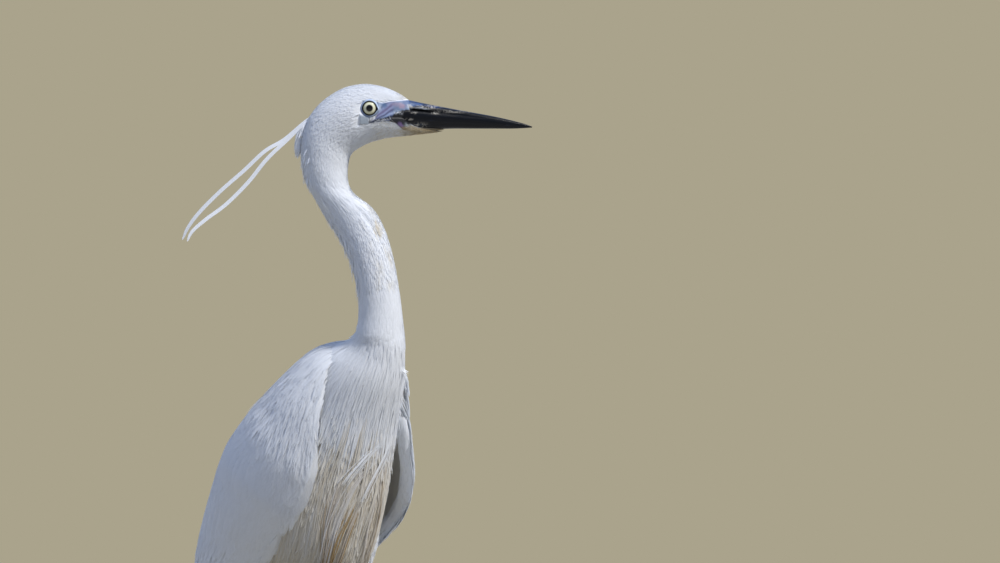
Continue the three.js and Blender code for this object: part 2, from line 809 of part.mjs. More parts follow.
function claw(leg, digit) {
  const { joint, ahead } = toePath(leg, digit);
  const side = ahead.clone().cross(up);
  const shape = [
    [GAP, 1.9, 1.3],
    [3, 1.9, 1.1],
    [6, 1.4, 0.7],
  ];
  const rings = shape.map(([forth, z, radius]) => {
    const middle = joint.clone().addScaledVector(ahead, digit.long + forth).setZ(z);
    return Array.from({ length: 6 }, (_, k) => {
      const a = rad(k * 60 + 30);
      return middle.clone().addScaledVector(side, radius * 0.8 * Math.cos(a)).addScaledVector(up, radius * Math.sin(a));
    });
  });
  return loft(rings, joint.clone().addScaledVector(ahead, digit.long + CLAW_LENGTH).setZ(0.5));
}

// Finishes
const finish = (color, roughness) => new THREE.MeshStandardMaterial({ color, roughness, metalness: 0 });
const feather = finish("#eef1f5", 0.85);
const horn = finish("#1b1d24", 0.45);
const iris = finish("#dfe0a8", 0.1);
const legSkin = finish("#22231f", 0.6);
const toeSkin = finish("#b9a23a", 0.6);

const egret = new THREE.Group();

function add(name, manifold, material) {
  const { numProp, vertProperties, triVerts } = manifold.getMesh();
  const geometry = new THREE.BufferGeometry();
  const positions = new Float32Array((vertProperties.length / numProp) * 3);
  for (let i = 0; i < positions.length / 3; i++) {
    positions.set(vertProperties.subarray(i * numProp, i * numProp + 3), i * 3);
  }
  geometry.setAttribute("position", new THREE.BufferAttribute(positions, 3));
  geometry.setIndex(new THREE.BufferAttribute(new Uint32Array(triVerts), 1));
  const mesh = new THREE.Mesh(geometry, material);
  mesh.name = name;
  egret.add(mesh);
}

add("head", head(), feather);
add("bill_upper", bill(true), horn);
add("bill_lower", bill(false), horn);
add("eye_right", ball(EYE.radius, eyeCentre(-1)), iris);
add("eye_left", ball(EYE.radius, eyeCentre(1)), iris);
add("neck_upper", bodyLength(HEAD_END, UPPER_END, 0.62), feather);
add("neck_middle", bodyLength(UPPER_END, MIDDLE_END, 0.7), feather);
add("neck_lower", bodyLength(MIDDLE_END, LOWER_END, 0.62), feather);
add("torso", torso(), feather);
add("wing_right", wing(-1), feather);
add("wing_left", wing(1), feather);
add("tail", tail(), feather);
for (const [side, leg] of Object.entries(LEGS)) {
  add(`thigh_${side}`, thigh(leg), feather);
  add(`shin_${side}`, shin(leg), legSkin);
  add(`tarsus_${side}`, shank(leg), legSkin);
  add(`foot_${side}`, foot(leg), toeSkin);
  for (const digit of TOES) add(`claw_${side}_${digit.name}`, claw(leg, digit), horn);
}

// The origin is the middle of the model's box, on the floor
const box = new THREE.Box3().setFromObject(egret);
const boxMiddle = box.getCenter(new THREE.Vector3());
egret.position.set(-boxMiddle.x, -boxMiddle.y, -box.min.z);

export default egret;
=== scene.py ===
import math
from functools import partial

import bpy
import numpy as np
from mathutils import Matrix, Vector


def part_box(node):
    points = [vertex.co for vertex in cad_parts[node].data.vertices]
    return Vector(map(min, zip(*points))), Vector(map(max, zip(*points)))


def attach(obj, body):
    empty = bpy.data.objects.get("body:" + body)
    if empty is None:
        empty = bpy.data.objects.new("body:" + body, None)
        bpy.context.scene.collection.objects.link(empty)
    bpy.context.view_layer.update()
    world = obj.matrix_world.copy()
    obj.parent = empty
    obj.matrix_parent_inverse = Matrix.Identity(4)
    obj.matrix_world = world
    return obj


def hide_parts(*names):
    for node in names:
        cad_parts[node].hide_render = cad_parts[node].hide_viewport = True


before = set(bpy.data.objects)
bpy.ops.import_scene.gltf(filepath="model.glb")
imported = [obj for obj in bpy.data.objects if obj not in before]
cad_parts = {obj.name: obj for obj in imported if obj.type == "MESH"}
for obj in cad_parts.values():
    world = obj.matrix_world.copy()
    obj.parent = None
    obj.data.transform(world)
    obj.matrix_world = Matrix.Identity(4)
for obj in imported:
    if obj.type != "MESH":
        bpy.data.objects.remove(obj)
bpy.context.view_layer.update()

# Camera: square to the bill and level with the bird's shoulder, from far off, as a long lens sees it.
# The photo's frame is 1000 x 563 and one of its pixels is 0.68 mm at the bird. The bird's own measure is
# in millimetres, its zero at column 300 and on the floor, and `placed` brings it into the part's frame.
PHOTO_SIZE = (1000, 563)
PIXEL = 0.68
ZERO_COLUMN = 300
GROUND_ROW = 885  # row of the photo, if it went on, where the floor would be
CAMERA_DISTANCE = 8.0
SENSOR_WIDTH = 36
EYE_AT = (47.4, -32.13)  # the right eye's middle in the bird's own measure
BILL_PLANE = -22  # depth of the plane through the bill and the middle of the head
MM = 1000  # millimetres in a metre

low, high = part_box("eye_right")
shift = np.array([(low.x + high.x) * (MM / 2) - EYE_AT[0], (low.y + high.y) * (MM / 2) - EYE_AT[1], 0.0])


def at_pixel(column, row):
    return (column - ZERO_COLUMN) * PIXEL, (GROUND_ROW - row) * PIXEL


def placed(points):
    return (np.asarray(points, float) + shift) / MM


aim_x, aim_z = at_pixel(PHOTO_SIZE[0] / 2, PHOTO_SIZE[1] / 2)
aim = placed([aim_x, BILL_PLANE, aim_z])
camera_data = bpy.data.cameras.new("camera")
camera_data.sensor_width = SENSOR_WIDTH
camera_data.lens = SENSOR_WIDTH * CAMERA_DISTANCE / (PHOTO_SIZE[0] * PIXEL / MM)
camera_data.clip_end = 60
camera = bpy.data.objects.new("camera", camera_data)
camera.location = (aim[0], aim[1] - CAMERA_DISTANCE, aim[2])
camera.rotation_euler = (math.pi / 2, 0, 0)
bpy.context.scene.collection.objects.link(camera)
bpy.context.scene.camera = camera
bpy.context.scene.view_settings.view_transform = "Standard"


# Studio: a pale floor, a soft key from high on the right, a fill that is cool from above and warm from
# below, and a plain warm grey-green behind the bird.
def linear(hex_colour):
    parts = [int(hex_colour[i : i + 2], 16) / 255 for i in (1, 3, 5)]
    return tuple(c / 12.92 if c <= 0.04045 else ((c + 0.055) / 1.055) ** 2.4 for c in parts) + (1.0,)


def add_node(tree, kind, settings=None, links=None):
    node = tree.nodes.new(kind)
    for key, value in (settings or {}).items():
        if isinstance(key, int) or key in node.inputs:
            node.inputs[key].default_value = value
        else:
            setattr(node, key, value)
    for key, source in (links or {}).items():
        tree.links.new(source, node.inputs[key])
    return node


def mix_colours(tree, share, *pair):
    """A mix of two colours by a share; a colour is a hex code or the output of another node."""
    mix = add_node(tree, "ShaderNodeMix", {"data_type": "RGBA"}, {0: share})
    for socket, colour in zip((6, 7), pair):
        if isinstance(colour, str):
            mix.inputs[socket].default_value = linear(colour)
        else:
            tree.links.new(colour, mix.inputs[socket])
    return mix.outputs[2]


def new_material(name, settings):
    material = bpy.data.materials.new(name)
    material.use_nodes = True
    shader = material.node_tree.nodes["Principled BSDF"]
    for key, value in settings.items():
        shader.inputs[key].default_value = value
    return material, material.node_tree, shader


FILL_ABOVE = "#b0c5ee"
FILL_BELOW = "#ada590"
FILL_STRENGTH = 0.78
BEHIND_COLOUR = "#aaa38c"
KEY_COLOUR = "#fffaf2"
KEY_STRENGTH = 3.7
KEY_FROM = (1.35, -0.8, 2.05)
KEY_SPREAD = math.radians(9)
FLOOR_REACH = 9.0
FLOOR_DROP = 0.0004  # the floor lies a hair under the feet

world = bpy.data.worlds.new("studio")
world.use_nodes = True
bpy.context.scene.world = world
tree = world.node_tree
tree.nodes.clear()
looking = add_node(tree, "ShaderNodeTexCoord")
parts = add_node(tree, "ShaderNodeSeparateXYZ", links={0: looking.outputs["Generated"]})
upward = add_node(
    tree, "ShaderNodeMapRange", {"From Min": -0.35, "From Max": 0.45}, {"Value": parts.outputs["Z"]}
)
fill_colour = mix_colours(tree, upward.outputs[0], FILL_BELOW, FILL_ABOVE)
fill = add_node(tree, "ShaderNodeBackground", {"Strength": FILL_STRENGTH}, {"Color": fill_colour})
behind = add_node(tree, "ShaderNodeBackground", {"Color": linear(BEHIND_COLOUR), "Strength": 1.0})
seen = add_node(tree, "ShaderNodeLightPath").outputs["Is Camera Ray"]
both = add_node(tree, "ShaderNodeMixShader", links={0: seen, 1: fill.outputs[0], 2: behind.outputs[0]})
add_node(tree, "ShaderNodeOutputWorld", links={"Surface": both.outputs[0]})

key_data = bpy.data.lights.new("key", "SUN")
key_data.angle = KEY_SPREAD
key_data.energy = KEY_STRENGTH
key_data.color = linear(KEY_COLOUR)[:3]
key = bpy.data.objects.new("key", key_data)
bird_middle = placed([20, -20, 400])
key.location = bird_middle + np.array(KEY_FROM)
key.rotation_euler = Vector(KEY_FROM).to_track_quat("Z", "Y").to_euler()
bpy.context.scene.collection.objects.link(key)

floor_mesh = bpy.data.meshes.new("floor")
corners = [(x * FLOOR_REACH, y * FLOOR_REACH, -FLOOR_DROP) for x, y in ((-1, -1), (1, -1), (1, 1), (-1, 1))]
floor_mesh.from_pydata(corners, [], [(0, 1, 2, 3)])
floor = bpy.data.objects.new("floor", floor_mesh)
bpy.context.scene.collection.objects.link(floor)
floor_paint, tree, shader = new_material("floor_matt_paint", {"Roughness": 0.9})
grain = add_node(tree, "ShaderNodeTexNoise", {"Scale": 3.0, "Detail": 2.0})
tree.links.new(mix_colours(tree, grain.outputs["Fac"], "#c3c0b8", "#c9c6bf"), shader.inputs["Base Color"])
floor_mesh.materials.append(floor_paint)
floor.visible_diffuse = False  # no glare from the floor on the breast and throat

# The run of ribs that head, neck and body are shaped on, in millimetres: first the ribs of head and
# neck (back x, z, front x, z, half width, depth, turn), then those of the body, along its own axis.
NECK_RIBS = [
    (74.1, 533.8, 73.0, 511.0, 7.5, -22, 0),
    (66.6, 538.6, 66.0, 509.2, 9.8, -22, 0),
    (57.1, 542.6, 57.8, 507.8, 12.4, -22, 0),
    (44.9, 544.7, 48.3, 505.2, 14.6, -22, 0),
    (32.6, 543.0, 40.8, 501.5, 15.8, -22, 0),
    (21.8, 537.9, 36.7, 498.8, 16.0, -22, 0),
    (12.2, 530.1, 34.5, 496.2, 15.6, -22, 0),
    (5.4, 520.9, 33.4, 493.2, 15.0, -22, 2),
    (1.7, 510.7, 32.8, 489.6, 14.4, -22.5, 4),
    (0.3, 499.8, 32.4, 484.8, 13.8, -23, 6),
    (1.4, 487.6, 32.6, 479.4, 13.4, -24, 8),
    (4.1, 476.7, 34.3, 474.0, 13.2, -25, 10),
    (9.5, 467.2, 37.9, 469.0, 13.2, -27, 13),
    (17.0, 453.6, 49.0, 461.0, 13.6, -30, 17),
    (25.8, 440.0, 57.1, 448.1, 13.8, -35, 21),
    (33.3, 425.0, 62.6, 431.8, 14.0, -39, 25),
    (38.1, 408.7, 66.6, 412.1, 14.2, -42, 30),
    (40.1, 392.4, 69.0, 392.4, 14.8, -43.5, 34),
    (39.1, 376.0, 70.0, 374.7, 17.0, -43.5, 38),
]
BODY_RIBS = [
    (92, 19, 112, -16, 17.5),
    (85, 26, 101, -22, 21),
    (75, 33, 89, -28, 27),
    (57, 40.5, 66, -36, 33),
    (28, 45, 36, -49, 39.5),
    (0, 47, 3, -62, 45),
    (-30, 45, -30, -72, 45),
    (-58, 39, -56, -68, 38),
    (-82, 29, -78, -50, 29),
    (-100, 20, -96, -27, 18),
    (-108, 12, -106, -11, 10),
]
BODY_YAW = math.radians(42)
BODY_PITCH = math.radians(53)
BODY_CENTRE = np.array([6.8, 0, 285.6])
UP = np.array([0, 0, 1.0])
heading = np.array([math.cos(BODY_YAW), -math.sin(BODY_YAW), 0])
leftward = np.array([math.sin(BODY_YAW), math.cos(BODY_YAW), 0])
forward = heading * math.cos(BODY_PITCH) + UP * math.sin(BODY_PITCH)
dorsal = np.cross(forward, leftward)
dice = np.random.default_rng(11)


def in_body(along, above, aside=0.0):
    along, above, aside = np.broadcast_arrays(along, above, aside)
    return (
        BODY_CENTRE
        + along[..., None] * forward
        + above[..., None] * dorsal
        + aside[..., None] * leftward
    )


def rib_frames():
    middles, halves, sides = [], [], []
    for back_x, back_z, front_x, front_z, half_width, y, turn in NECK_RIBS:
        turn = math.radians(turn)
        middles.append([(back_x + front_x) / 2, y, (back_z + front_z) / 2])
        ahead = (front_x - back_x) / 2
        halves.append([ahead * math.cos(turn), -ahead * math.sin(turn), (front_z - back_z) / 2])
        sides.append([math.sin(turn) * half_width, math.cos(turn) * half_width, 0])
    for back_along, back_above, front_along, front_above, half_width in BODY_RIBS:
        back = in_body(back_along, back_above)
        front = in_body(front_along, front_above)
        middles.append((back + front) / 2)
        halves.append((front - back) / 2)
        sides.append(leftward * half_width)
    return np.array(middles), np.array(halves), np.array(sides)


def through(rows, t):
    last = len(rows) - 1
    i = np.clip(np.floor(t).astype(int), 0, last - 1)
    w = np.clip(t - i, 0, 1)[..., None]
    here, there = rows[i], rows[i + 1]
    before = np.where((i > 0)[..., None], rows[np.maximum(i - 1, 0)], 2 * rows[0] - rows[1])
    after = np.where((i < last - 1)[..., None], rows[np.minimum(i + 2, last)], 2 * rows[-1] - rows[-2])
    out, into = (there - before) / 2, (after - here) / 2
    cube, square = w**3, w**2
    return (
        here * (2 * cube - 3 * square + 1)
        + there * (3 * square - 2 * cube)
        + out * (cube - 2 * square + w)
        + into * (cube - square)
    )


MIDDLES, HALVES, SIDES = rib_frames()
LAST_RIB = len(MIDDLES) - 1


def unit(v):
    return v / np.maximum(np.linalg.norm(v, axis=-1, keepdims=True), 1e-9)


def bump_at(x, middle, reach):
    return np.exp(-(((x - middle) / reach) ** 2))


def smooth_step(x, start, end):
    t = np.clip((x - start) / (end - start), 0, 1)
    return t * t * (3 - 2 * t)


CHIN_REACH = (25.0, 0, 1.7)  # how far the chin's point lies ahead of the jaw and above it


def flesh(rib, angle, lift):
    """A point of the head, neck or body: rib number, degrees from the back line to the left, lift."""
    rib, angle, lift = np.broadcast_arrays(rib, angle, lift)
    half, side = through(HALVES, rib), through(SIDES, rib)
    turn = np.radians(angle)[..., None]
    # the lores sink in between the eye and the bill, and the cheek fills out behind the gape
    across = np.abs(np.sin(turn))
    sunk = 0.13 * bump_at(rib, 1.2, 1.1) * bump_at(angle % 180, 95, 26)
    sunk -= 0.03 * bump_at(rib, 4.4, 1.0) * bump_at(angle % 180, 100, 40)
    # at its front the skin slips under the horn of the bill
    sunk += 0.13 * (1 - smooth_step(rib, 0, 0.9))
    side = side * (1 - sunk[..., None] * across)
    # a fold of ruffled feathers slants across the side of the neck's bend
    lift = lift - 1.1 * bump_at(rib, 13.6, 0.9) * bump_at(angle % 360, 230 - 11 * (rib - 13), 8)
    grown_half = half + unit(half) * lift[..., None]
    grown_side = side + unit(side) * lift[..., None]
    points = through(MIDDLES, rib) - grown_half * np.cos(turn) + grown_side * np.sin(turn)
    # the feathered chin runs out as a tongue under the bill
    tongue = (1 - smooth_step(rib, 0, 1.7)) * bump_at(angle % 360, 180, 40)
    return points + tongue[..., None] * np.array(CHIN_REACH)


# Skin: under the feathers the whole bird is one smooth body. It shows only on the lores, round the
# eye and behind the gape, where it is bare, blue-grey and lilac, finely creased and flaking.
def quads_between(rows, columns, closed):
    r = np.arange(rows - 1)[:, None]
    c = np.arange(columns if closed else columns - 1)[None, :]
    n = (c + 1) % columns
    corners = [r * columns + c, r * columns + n, (r + 1) * columns + n, (r + 1) * columns + c]
    return np.stack(corners, -1).reshape(-1, 4)


def capped(rings, beyond=0.0):
    """A run of rings closed by a point at each end, the last one a step beyond."""
    first = np.broadcast_to(rings[0].mean(0), rings[:1].shape)
    last = np.broadcast_to(rings[-1].mean(0) + beyond, rings[:1].shape)
    return np.concatenate([first, rings, last])


def new_piece(name, points, quads, material, slot, uvs=None, colours=None, floats=None):
    """A mesh of quads in millimetres; uvs per corner, colours and floats per point."""
    mesh = bpy.data.meshes.new(name)
    points = placed(points)
    mesh.vertices.add(len(points))
    mesh.vertices.foreach_set("co", points.astype(np.float32).ravel())
    mesh.loops.add(quads.size)
    mesh.loops.foreach_set("vertex_index", quads.astype(np.int32).ravel())
    mesh.polygons.add(len(quads))
    mesh.polygons.foreach_set("loop_start", np.arange(len(quads), dtype=np.int32) * 4)
    mesh.update(calc_edges=True)
    mesh.polygons.foreach_set("use_smooth", np.ones(len(quads), bool))
    for title, values in (uvs or {}).items():
        layer = mesh.uv_layers.new(name=title)
        layer.uv.foreach_set("vector", values[quads].astype(np.float32).ravel())
    if colours is not None:
        tint = mesh.color_attributes.new("tint", "FLOAT_COLOR", "POINT")
        full = np.concatenate([colours, np.ones((len(colours), 1))], 1)
        tint.data.foreach_set("color", full.astype(np.float32).ravel())
    for title, values in (floats or {}).items():
        layer = mesh.attributes.new(title, "FLOAT", "POINT")
        layer.data.foreach_set("value", values.astype(np.float32))
    mesh.materials.append(material)
    piece = bpy.data.objects.new(name, mesh)
    bpy.context.scene.collection.objects.link(piece)
    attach(piece, "root")
    return piece


def ringed_piece(name, rings, material, slot, colour, **layers):
    """A piece of rings, its colour one for all or one per point."""
    points = rings.reshape(-1, 3)
    quads = quads_between(len(rings), rings.shape[1], True)
    colours = np.broadcast_to(colour, points.shape)
    return new_piece(name, points, quads, material, slot, colours=colours, **layers)


def rgb(hex_colour):
    return np.array(linear(hex_colour)[:3])


def blend(base, other, share):
    return base * (1 - share[..., None]) + other * share[..., None]


def ripple(points, size, seed=0.0):
    """A smooth wave in space, between -1 and 1, its bumps about `size` millimetres apart."""
    k = 2 * math.pi / size
    x, y, z = points[..., 0], points[..., 1], points[..., 2]
    return (
        np.sin(k * (x + 0.4 * y) + seed + 1.7 * np.sin(k * 0.53 * z + seed))
        + np.sin(k * (0.7 * z - 0.5 * y) + 2.1 * seed + 1.3 * np.sin(k * 0.61 * x))
        + np.sin(k * (0.8 * y + 0.5 * z - 0.3 * x) + 0.7 * seed)
    ) / 3


EYE_MIDDLE = np.array([47.4, 528.0])
BARE_WHITE = rgb("#eef1f6")
LORE_BLUE = rgb("#7488a8")
UNDER_EYE = rgb("#a3aeba")
RING_BLUE = rgb("#b3c4dd")
HORN_BLACK = rgb("#04060b")
# Markings of lores and bill base, with two streaks of painted highlight along the bill's ridge, each at its
# place in the photo's frame: column, row, half width, half height, lean in degrees, colour, strength
MARKS_AND_RIDGE_HIGHLIGHTS = [
    (379.3, 107.5, 2.0, 3.5, 0, "#b7c4d6", 0.8),
    (384.5, 105.5, 2.2, 2.8, 0, "#4b6a92", 0.8),
    (391.0, 102.0, 4.0, 0.9, -4, "#4d6996", 0.6),
    (407.0, 103.8, 3.0, 1.6, 0, "#56709c", 0.8),
    (411.5, 105.0, 3.0, 2.4, 0, "#6e86ae", 0.6),
    (396.0, 104.5, 4.6, 2.2, 0, "#8f88a2", 0.85),
    (402.0, 106.0, 3.5, 2.6, 20, "#a58fa3", 0.8),
    (409.5, 106.8, 2.6, 1.5, 10, "#c3cbd8", 0.75),
    # the next two are painted highlight: blue streaks along the ridge of the bill
    (418.0, 104.6, 5.0, 1.3, 8, "#4f6896", 0.8),
    (432.0, 106.6, 8.0, 1.1, 8, "#2c4270", 0.8),
    (422.0, 108.3, 7.0, 0.6, 6, "#c8d0da", 0.7),
    (401.0, 125.4, 1.9, 3.2, -38, "#75628e", 0.95),
    (407.0, 126.0, 3.0, 2.2, 30, "#96a0a6", 0.85),
    (419.0, 125.6, 6.0, 2.6, 0, "#4a5058", 0.5),
]
# Where the skin and horn flake: column, row, half width, half height, how much
FLAKING = [
    (397.5, 112.4, 5.0, 2.0, 1.0),
    (414.0, 113.0, 3.0, 1.0, 0.8),
    (435.0, 113.3, 4.0, 1.0, 0.8),
    (411.0, 106.0, 4.0, 2.6, 0.8),
    (428.0, 107.0, 12.0, 2.0, 0.7),
    (409.0, 119.6, 4.0, 0.8, 0.7),
    (418.0, 125.5, 8.0, 2.6, 0.8),
    (456.0, 111.5, 22.0, 1.6, 0.45),
]


def photo_place(points):
    return points[..., 0] / PIXEL + ZERO_COLUMN, GROUND_ROW - points[..., 2] / PIXEL


def spot(points, column, row, wide, tall, lean=0):
    columns, rows = photo_place(points)
    turn = math.radians(lean)
    over = (columns - column) * math.cos(turn) + (rows - row) * math.sin(turn)
    down = (rows - row) * math.cos(turn) - (columns - column) * math.sin(turn)
    return np.exp(-(np.abs(over / wide) ** 3) - np.abs(down / tall) ** 3)


def marked(points, colour):
    """The colour of lores or horn with markings and painted ridge highlights; their edges wander by 0.5 mm.
    """
    aside, upward = ripple(points, 3.7, 1.0), ripple(points, 2.9, 4.0)
    wander = points + 0.55 * np.stack([aside, 0 * aside, upward], -1)
    for *place, tone, strength in MARKS_AND_RIDGE_HIGHLIGHTS:
        colour = blend(colour, rgb(tone), strength * spot(wander, *place))
    return colour


def flaking(points):
    return np.max([share * spot(points, *place) for *place, share in FLAKING], axis=0)


def lore_share(points):
    """How bare the skin is between eye and bill, 0 to 1: below the brow line and above the gape line."""
    x, z = points[..., 0], points[..., 2]
    brow = np.interp(x, [50, 56, 62, 68, 75], [532.5, 531.5, 532.6, 533.2, 533.8])
    gape_at = [46, 51, 55.6, 60, 64.6, 66.8, 69.2, 71.4]
    gape = np.interp(x, gape_at, [517.5, 518, 518.8, 519, 518.4, 516.6, 514.3, 513.2])
    level = smooth_step(z, gape - 0.5, gape + 0.3) * (1 - smooth_step(z, brow - 0.4, brow + 0.6))
    back = np.interp(z, [518, 521, 525, 532], [46.5, 51.0, 52.5, 52.5])
    return level * smooth_step(x, back - 0.5, back + 0.8) * (1 - smooth_step(x, 75, 77))


def ring_share(points):
    distance = np.hypot(points[..., 0] - EYE_MIDDLE[0], points[..., 2] - EYE_MIDDLE[1])
    return 1 - smooth_step(distance, 5.8, 6.3)


def cheek_share(points):
    x, z = points[..., 0], points[..., 2]
    inside = smooth_step(x, 40.3, 41.2) * (1 - smooth_step(x, 46.2, 48.0))
    return inside * smooth_step(z, 516.4, 517.6) * (1 - smooth_step(z, 522.5, 525))


def skin_colour(points):
    x, z = points[..., 0], points[..., 2]
    columns, rows = photo_place(points)
    # pale folds fan out from the corner of the mouth, with painted shade in the creases between them
    fan = np.degrees(np.arctan2(124.5 - rows, columns - 367))
    folds = 0.5 + 0.5 * np.sin(fan * 0.62 + 1.2 * ripple(points, 8, 3.0))
    fold_colour = blend(rgb("#3f4c6e"), rgb("#8fa2c8"), folds)
    fold_colour = blend(fold_colour, rgb("#83779f"), 0.5 * bump_at(fan, 38, 9))
    near_mouth = (1 - smooth_step(columns, 391, 397)) * (1 - smooth_step(fan, 44, 56))
    lore = blend(LORE_BLUE, fold_colour, near_mouth)
    brow = 0.8 * smooth_step(columns, 398, 408) * (1 - smooth_step(rows, 106, 109))
    lore = blend(lore, rgb("#455a84"), brow)
    below_gape = np.interp(x, [46, 50, 57, 63], [518.1, 519.1, 520.7, 522.0]) - z
    mouth = 0.85 * smooth_step(below_gape, -0.1, 0.5) * (1 - smooth_step(x, 64, 66))
    lore = blend(lore, rgb("#4b4f5c"), mouth)
    # the horn's black starts along a wandering edge
    edge = np.interp(columns, [389, 393, 396, 401, 408, 412], [121, 116, 112.6, 110.4, 109.2, 109])
    wandering = rows + 0.8 * ripple(points, 3.0, 6.0)
    black = smooth_step(columns, 388.5, 391) * smooth_step(wandering, edge - 0.6, edge + 0.6)
    lore = marked(points, blend(lore, HORN_BLACK, black))
    colour = blend(BARE_WHITE, UNDER_EYE, cheek_share(points))
    colour = blend(colour, lore, lore_share(points))
    chin = smooth_step(x, 66, 71) * (1 - smooth_step(z, 514.4, 516.5))
    colour = blend(colour, rgb("#93866c"), chin)
    return blend(colour, RING_BLUE, ring_share(points))


def painted(tree, title, output="Color"):
    """What is painted on the points under that title."""
    return add_node(tree, "ShaderNodeAttribute", {"attribute_name": title}).outputs[output]


def add_relief(tree, shader, strength, depth, height):
    bump = add_node(tree, "ShaderNodeBump", {"Strength": strength, "Distance": depth}, {"Height": height})
    tree.links.new(bump.outputs[0], shader.inputs["Normal"])
    return bump.outputs[0]


def flake_edges(tree, noise):
    """Curled edges of flakes: where the noise crosses its middle, as strong as the wear painted there."""
    off_edge = add_node(tree, "ShaderNodeMath", {"operation": "SUBTRACT", 1: 0.5}, {0: noise})
    off_edge = add_node(tree, "ShaderNodeMath", {"operation": "ABSOLUTE"}, {0: off_edge.outputs[0]})
    edge = add_node(
        tree,
        "ShaderNodeMapRange",
        {"From Min": 0.015, "From Max": 0.055, "To Min": 1.0, "To Max": 0.0},
        {"Value": off_edge.outputs[0]},
    )
    worn = {0: edge.outputs[0], 1: painted(tree, "wear", "Fac")}
    return add_node(tree, "ShaderNodeMath", {"operation": "MULTIPLY"}, worn).outputs[0]


bare_skin, tree, shader = new_material("bare_skin_creased", {"Roughness": 0.55, "Specular IOR Level": 0.4})
where = add_node(tree, "ShaderNodeTexCoord").outputs["Object"]
# flakes of dry skin, about 1.5 mm across
flake_look = {"Scale": 480.0, "Detail": 2.5, "Distortion": 0.6}
flakes = add_node(tree, "ShaderNodeTexNoise", flake_look, {"Vector": where}).outputs["Fac"]
flaked = mix_colours(tree, flake_edges(tree, flakes), painted(tree, "tint"), "#ccd2dc")
tree.links.new(flaked, shader.inputs["Base Color"])
add_relief(tree, shader, 0.35, 0.0006, flakes)

SKIN_AROUND = 240
HEAD_COAT = 1.0  # depth of the feathers on the head, in millimetres
NECK_COAT = 1.8
BODY_COAT = 4.0
COAT_RIBS = [0, 0.6, 3, 8, 12, 17, 20, LAST_RIB]
COAT_DEPTHS = [0.1, 0.4, HEAD_COAT, HEAD_COAT, NECK_COAT, NECK_COAT, BODY_COAT, BODY_COAT]
EYE_CUP = 5.0  # how deep the skin sinks in behind the eyeball
GAPE_DEPTH = 0.5


def coat_depth(rib):
    return np.interp(rib, COAT_RIBS, COAT_DEPTHS)


skin_ribs = np.concatenate([np.linspace(0, 3.6, 150), np.linspace(3.65, LAST_RIB, 120)])
skin_angles = np.arange(SKIN_AROUND) * 360 / SKIN_AROUND
grid_rib, grid_angle = np.meshgrid(skin_ribs, skin_angles, indexing="ij")
sink = coat_depth(grid_rib) + 0.9 * (1 - smooth_step(grid_rib, 0, 1.7)) * bump_at(grid_angle, 180, 60)
covered = flesh(grid_rib, grid_angle, -sink)
bare_lift = sink * np.maximum(lore_share(covered), cheek_share(covered))
skin_points = flesh(grid_rib, grid_angle, -sink + bare_lift)
# the eye sits in a shallow cup
from_eye = np.hypot(skin_points[..., 0] - EYE_MIDDLE[0], skin_points[..., 2] - EYE_MIDDLE[1])
cup = 1 - smooth_step(from_eye, 4.6, 6.4)
to_middle = np.sign(skin_points[..., 1] - BILL_PLANE)
skin_points[..., 1] -= to_middle * EYE_CUP * cup
# the gape's crease runs back under the eye
gape_z = np.interp(skin_points[..., 0], [46, 50, 57, 63, 76], [518.1, 519.1, 520.7, 522.0, 521.8])
crease = np.exp(-(((skin_points[..., 2] - gape_z) / 0.75) ** 2))
crease *= smooth_step(skin_points[..., 0], 45.5, 48) * (skin_points[..., 0] < 80)
skin_points[..., 1] -= to_middle * GAPE_DEPTH * crease
skin_rings = capped(skin_points)
skin_flat = skin_rings.reshape(-1, 3)
# the crease is also painted near black: painted shade in the gape's fold
crease_painted_shade = np.clip(np.pad(crease, ((1, 1), (0, 0))).ravel() * 0.9, 0, 1)
skin_rows = np.repeat(np.linspace(0, 1, len(skin_rings)), SKIN_AROUND)
skin_unwrap = np.stack([np.tile(skin_angles / 360, len(skin_rings)), skin_rows], -1)
skin = ringed_piece(
    "skin", skin_rings, bare_skin, "plumage",
    blend(skin_colour(skin_flat), rgb("#15161c"), crease_painted_shade), uvs={"OFBake": skin_unwrap},
    floats={"wear": flaking(skin_flat)},
)
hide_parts("head", "neck_upper", "neck_middle", "neck_lower", "torso")

# Eyes: a pale yellow-green iris with a round black pupil on a glossy wet ball, held in a dark rim
# that draws out to a point towards the bill.
SIDE_NAMES = {-1: "right", 1: "left"}
EYE_RADIUS = 6.5
EYE_SHOWING = 5.1
IRIS_RADIUS = 4.0
PUPIL_RADIUS = 2.5
EYE_SINK = math.sqrt(EYE_RADIUS**2 - EYE_SHOWING**2)
HALF_HEAD_AT_EYE = 14.6 * 0.97

wet_eye, tree, shader = new_material("wet_eye", {"Roughness": 0.12, "Specular IOR Level": 0.3})
tree.links.new(painted(tree, "tint"), shader.inputs["Base Color"])


def eye_centre(sign):
    return np.array([EYE_MIDDLE[0], BILL_PLANE + sign * (HALF_HEAD_AT_EYE - EYE_SINK), EYE_MIDDLE[1]])


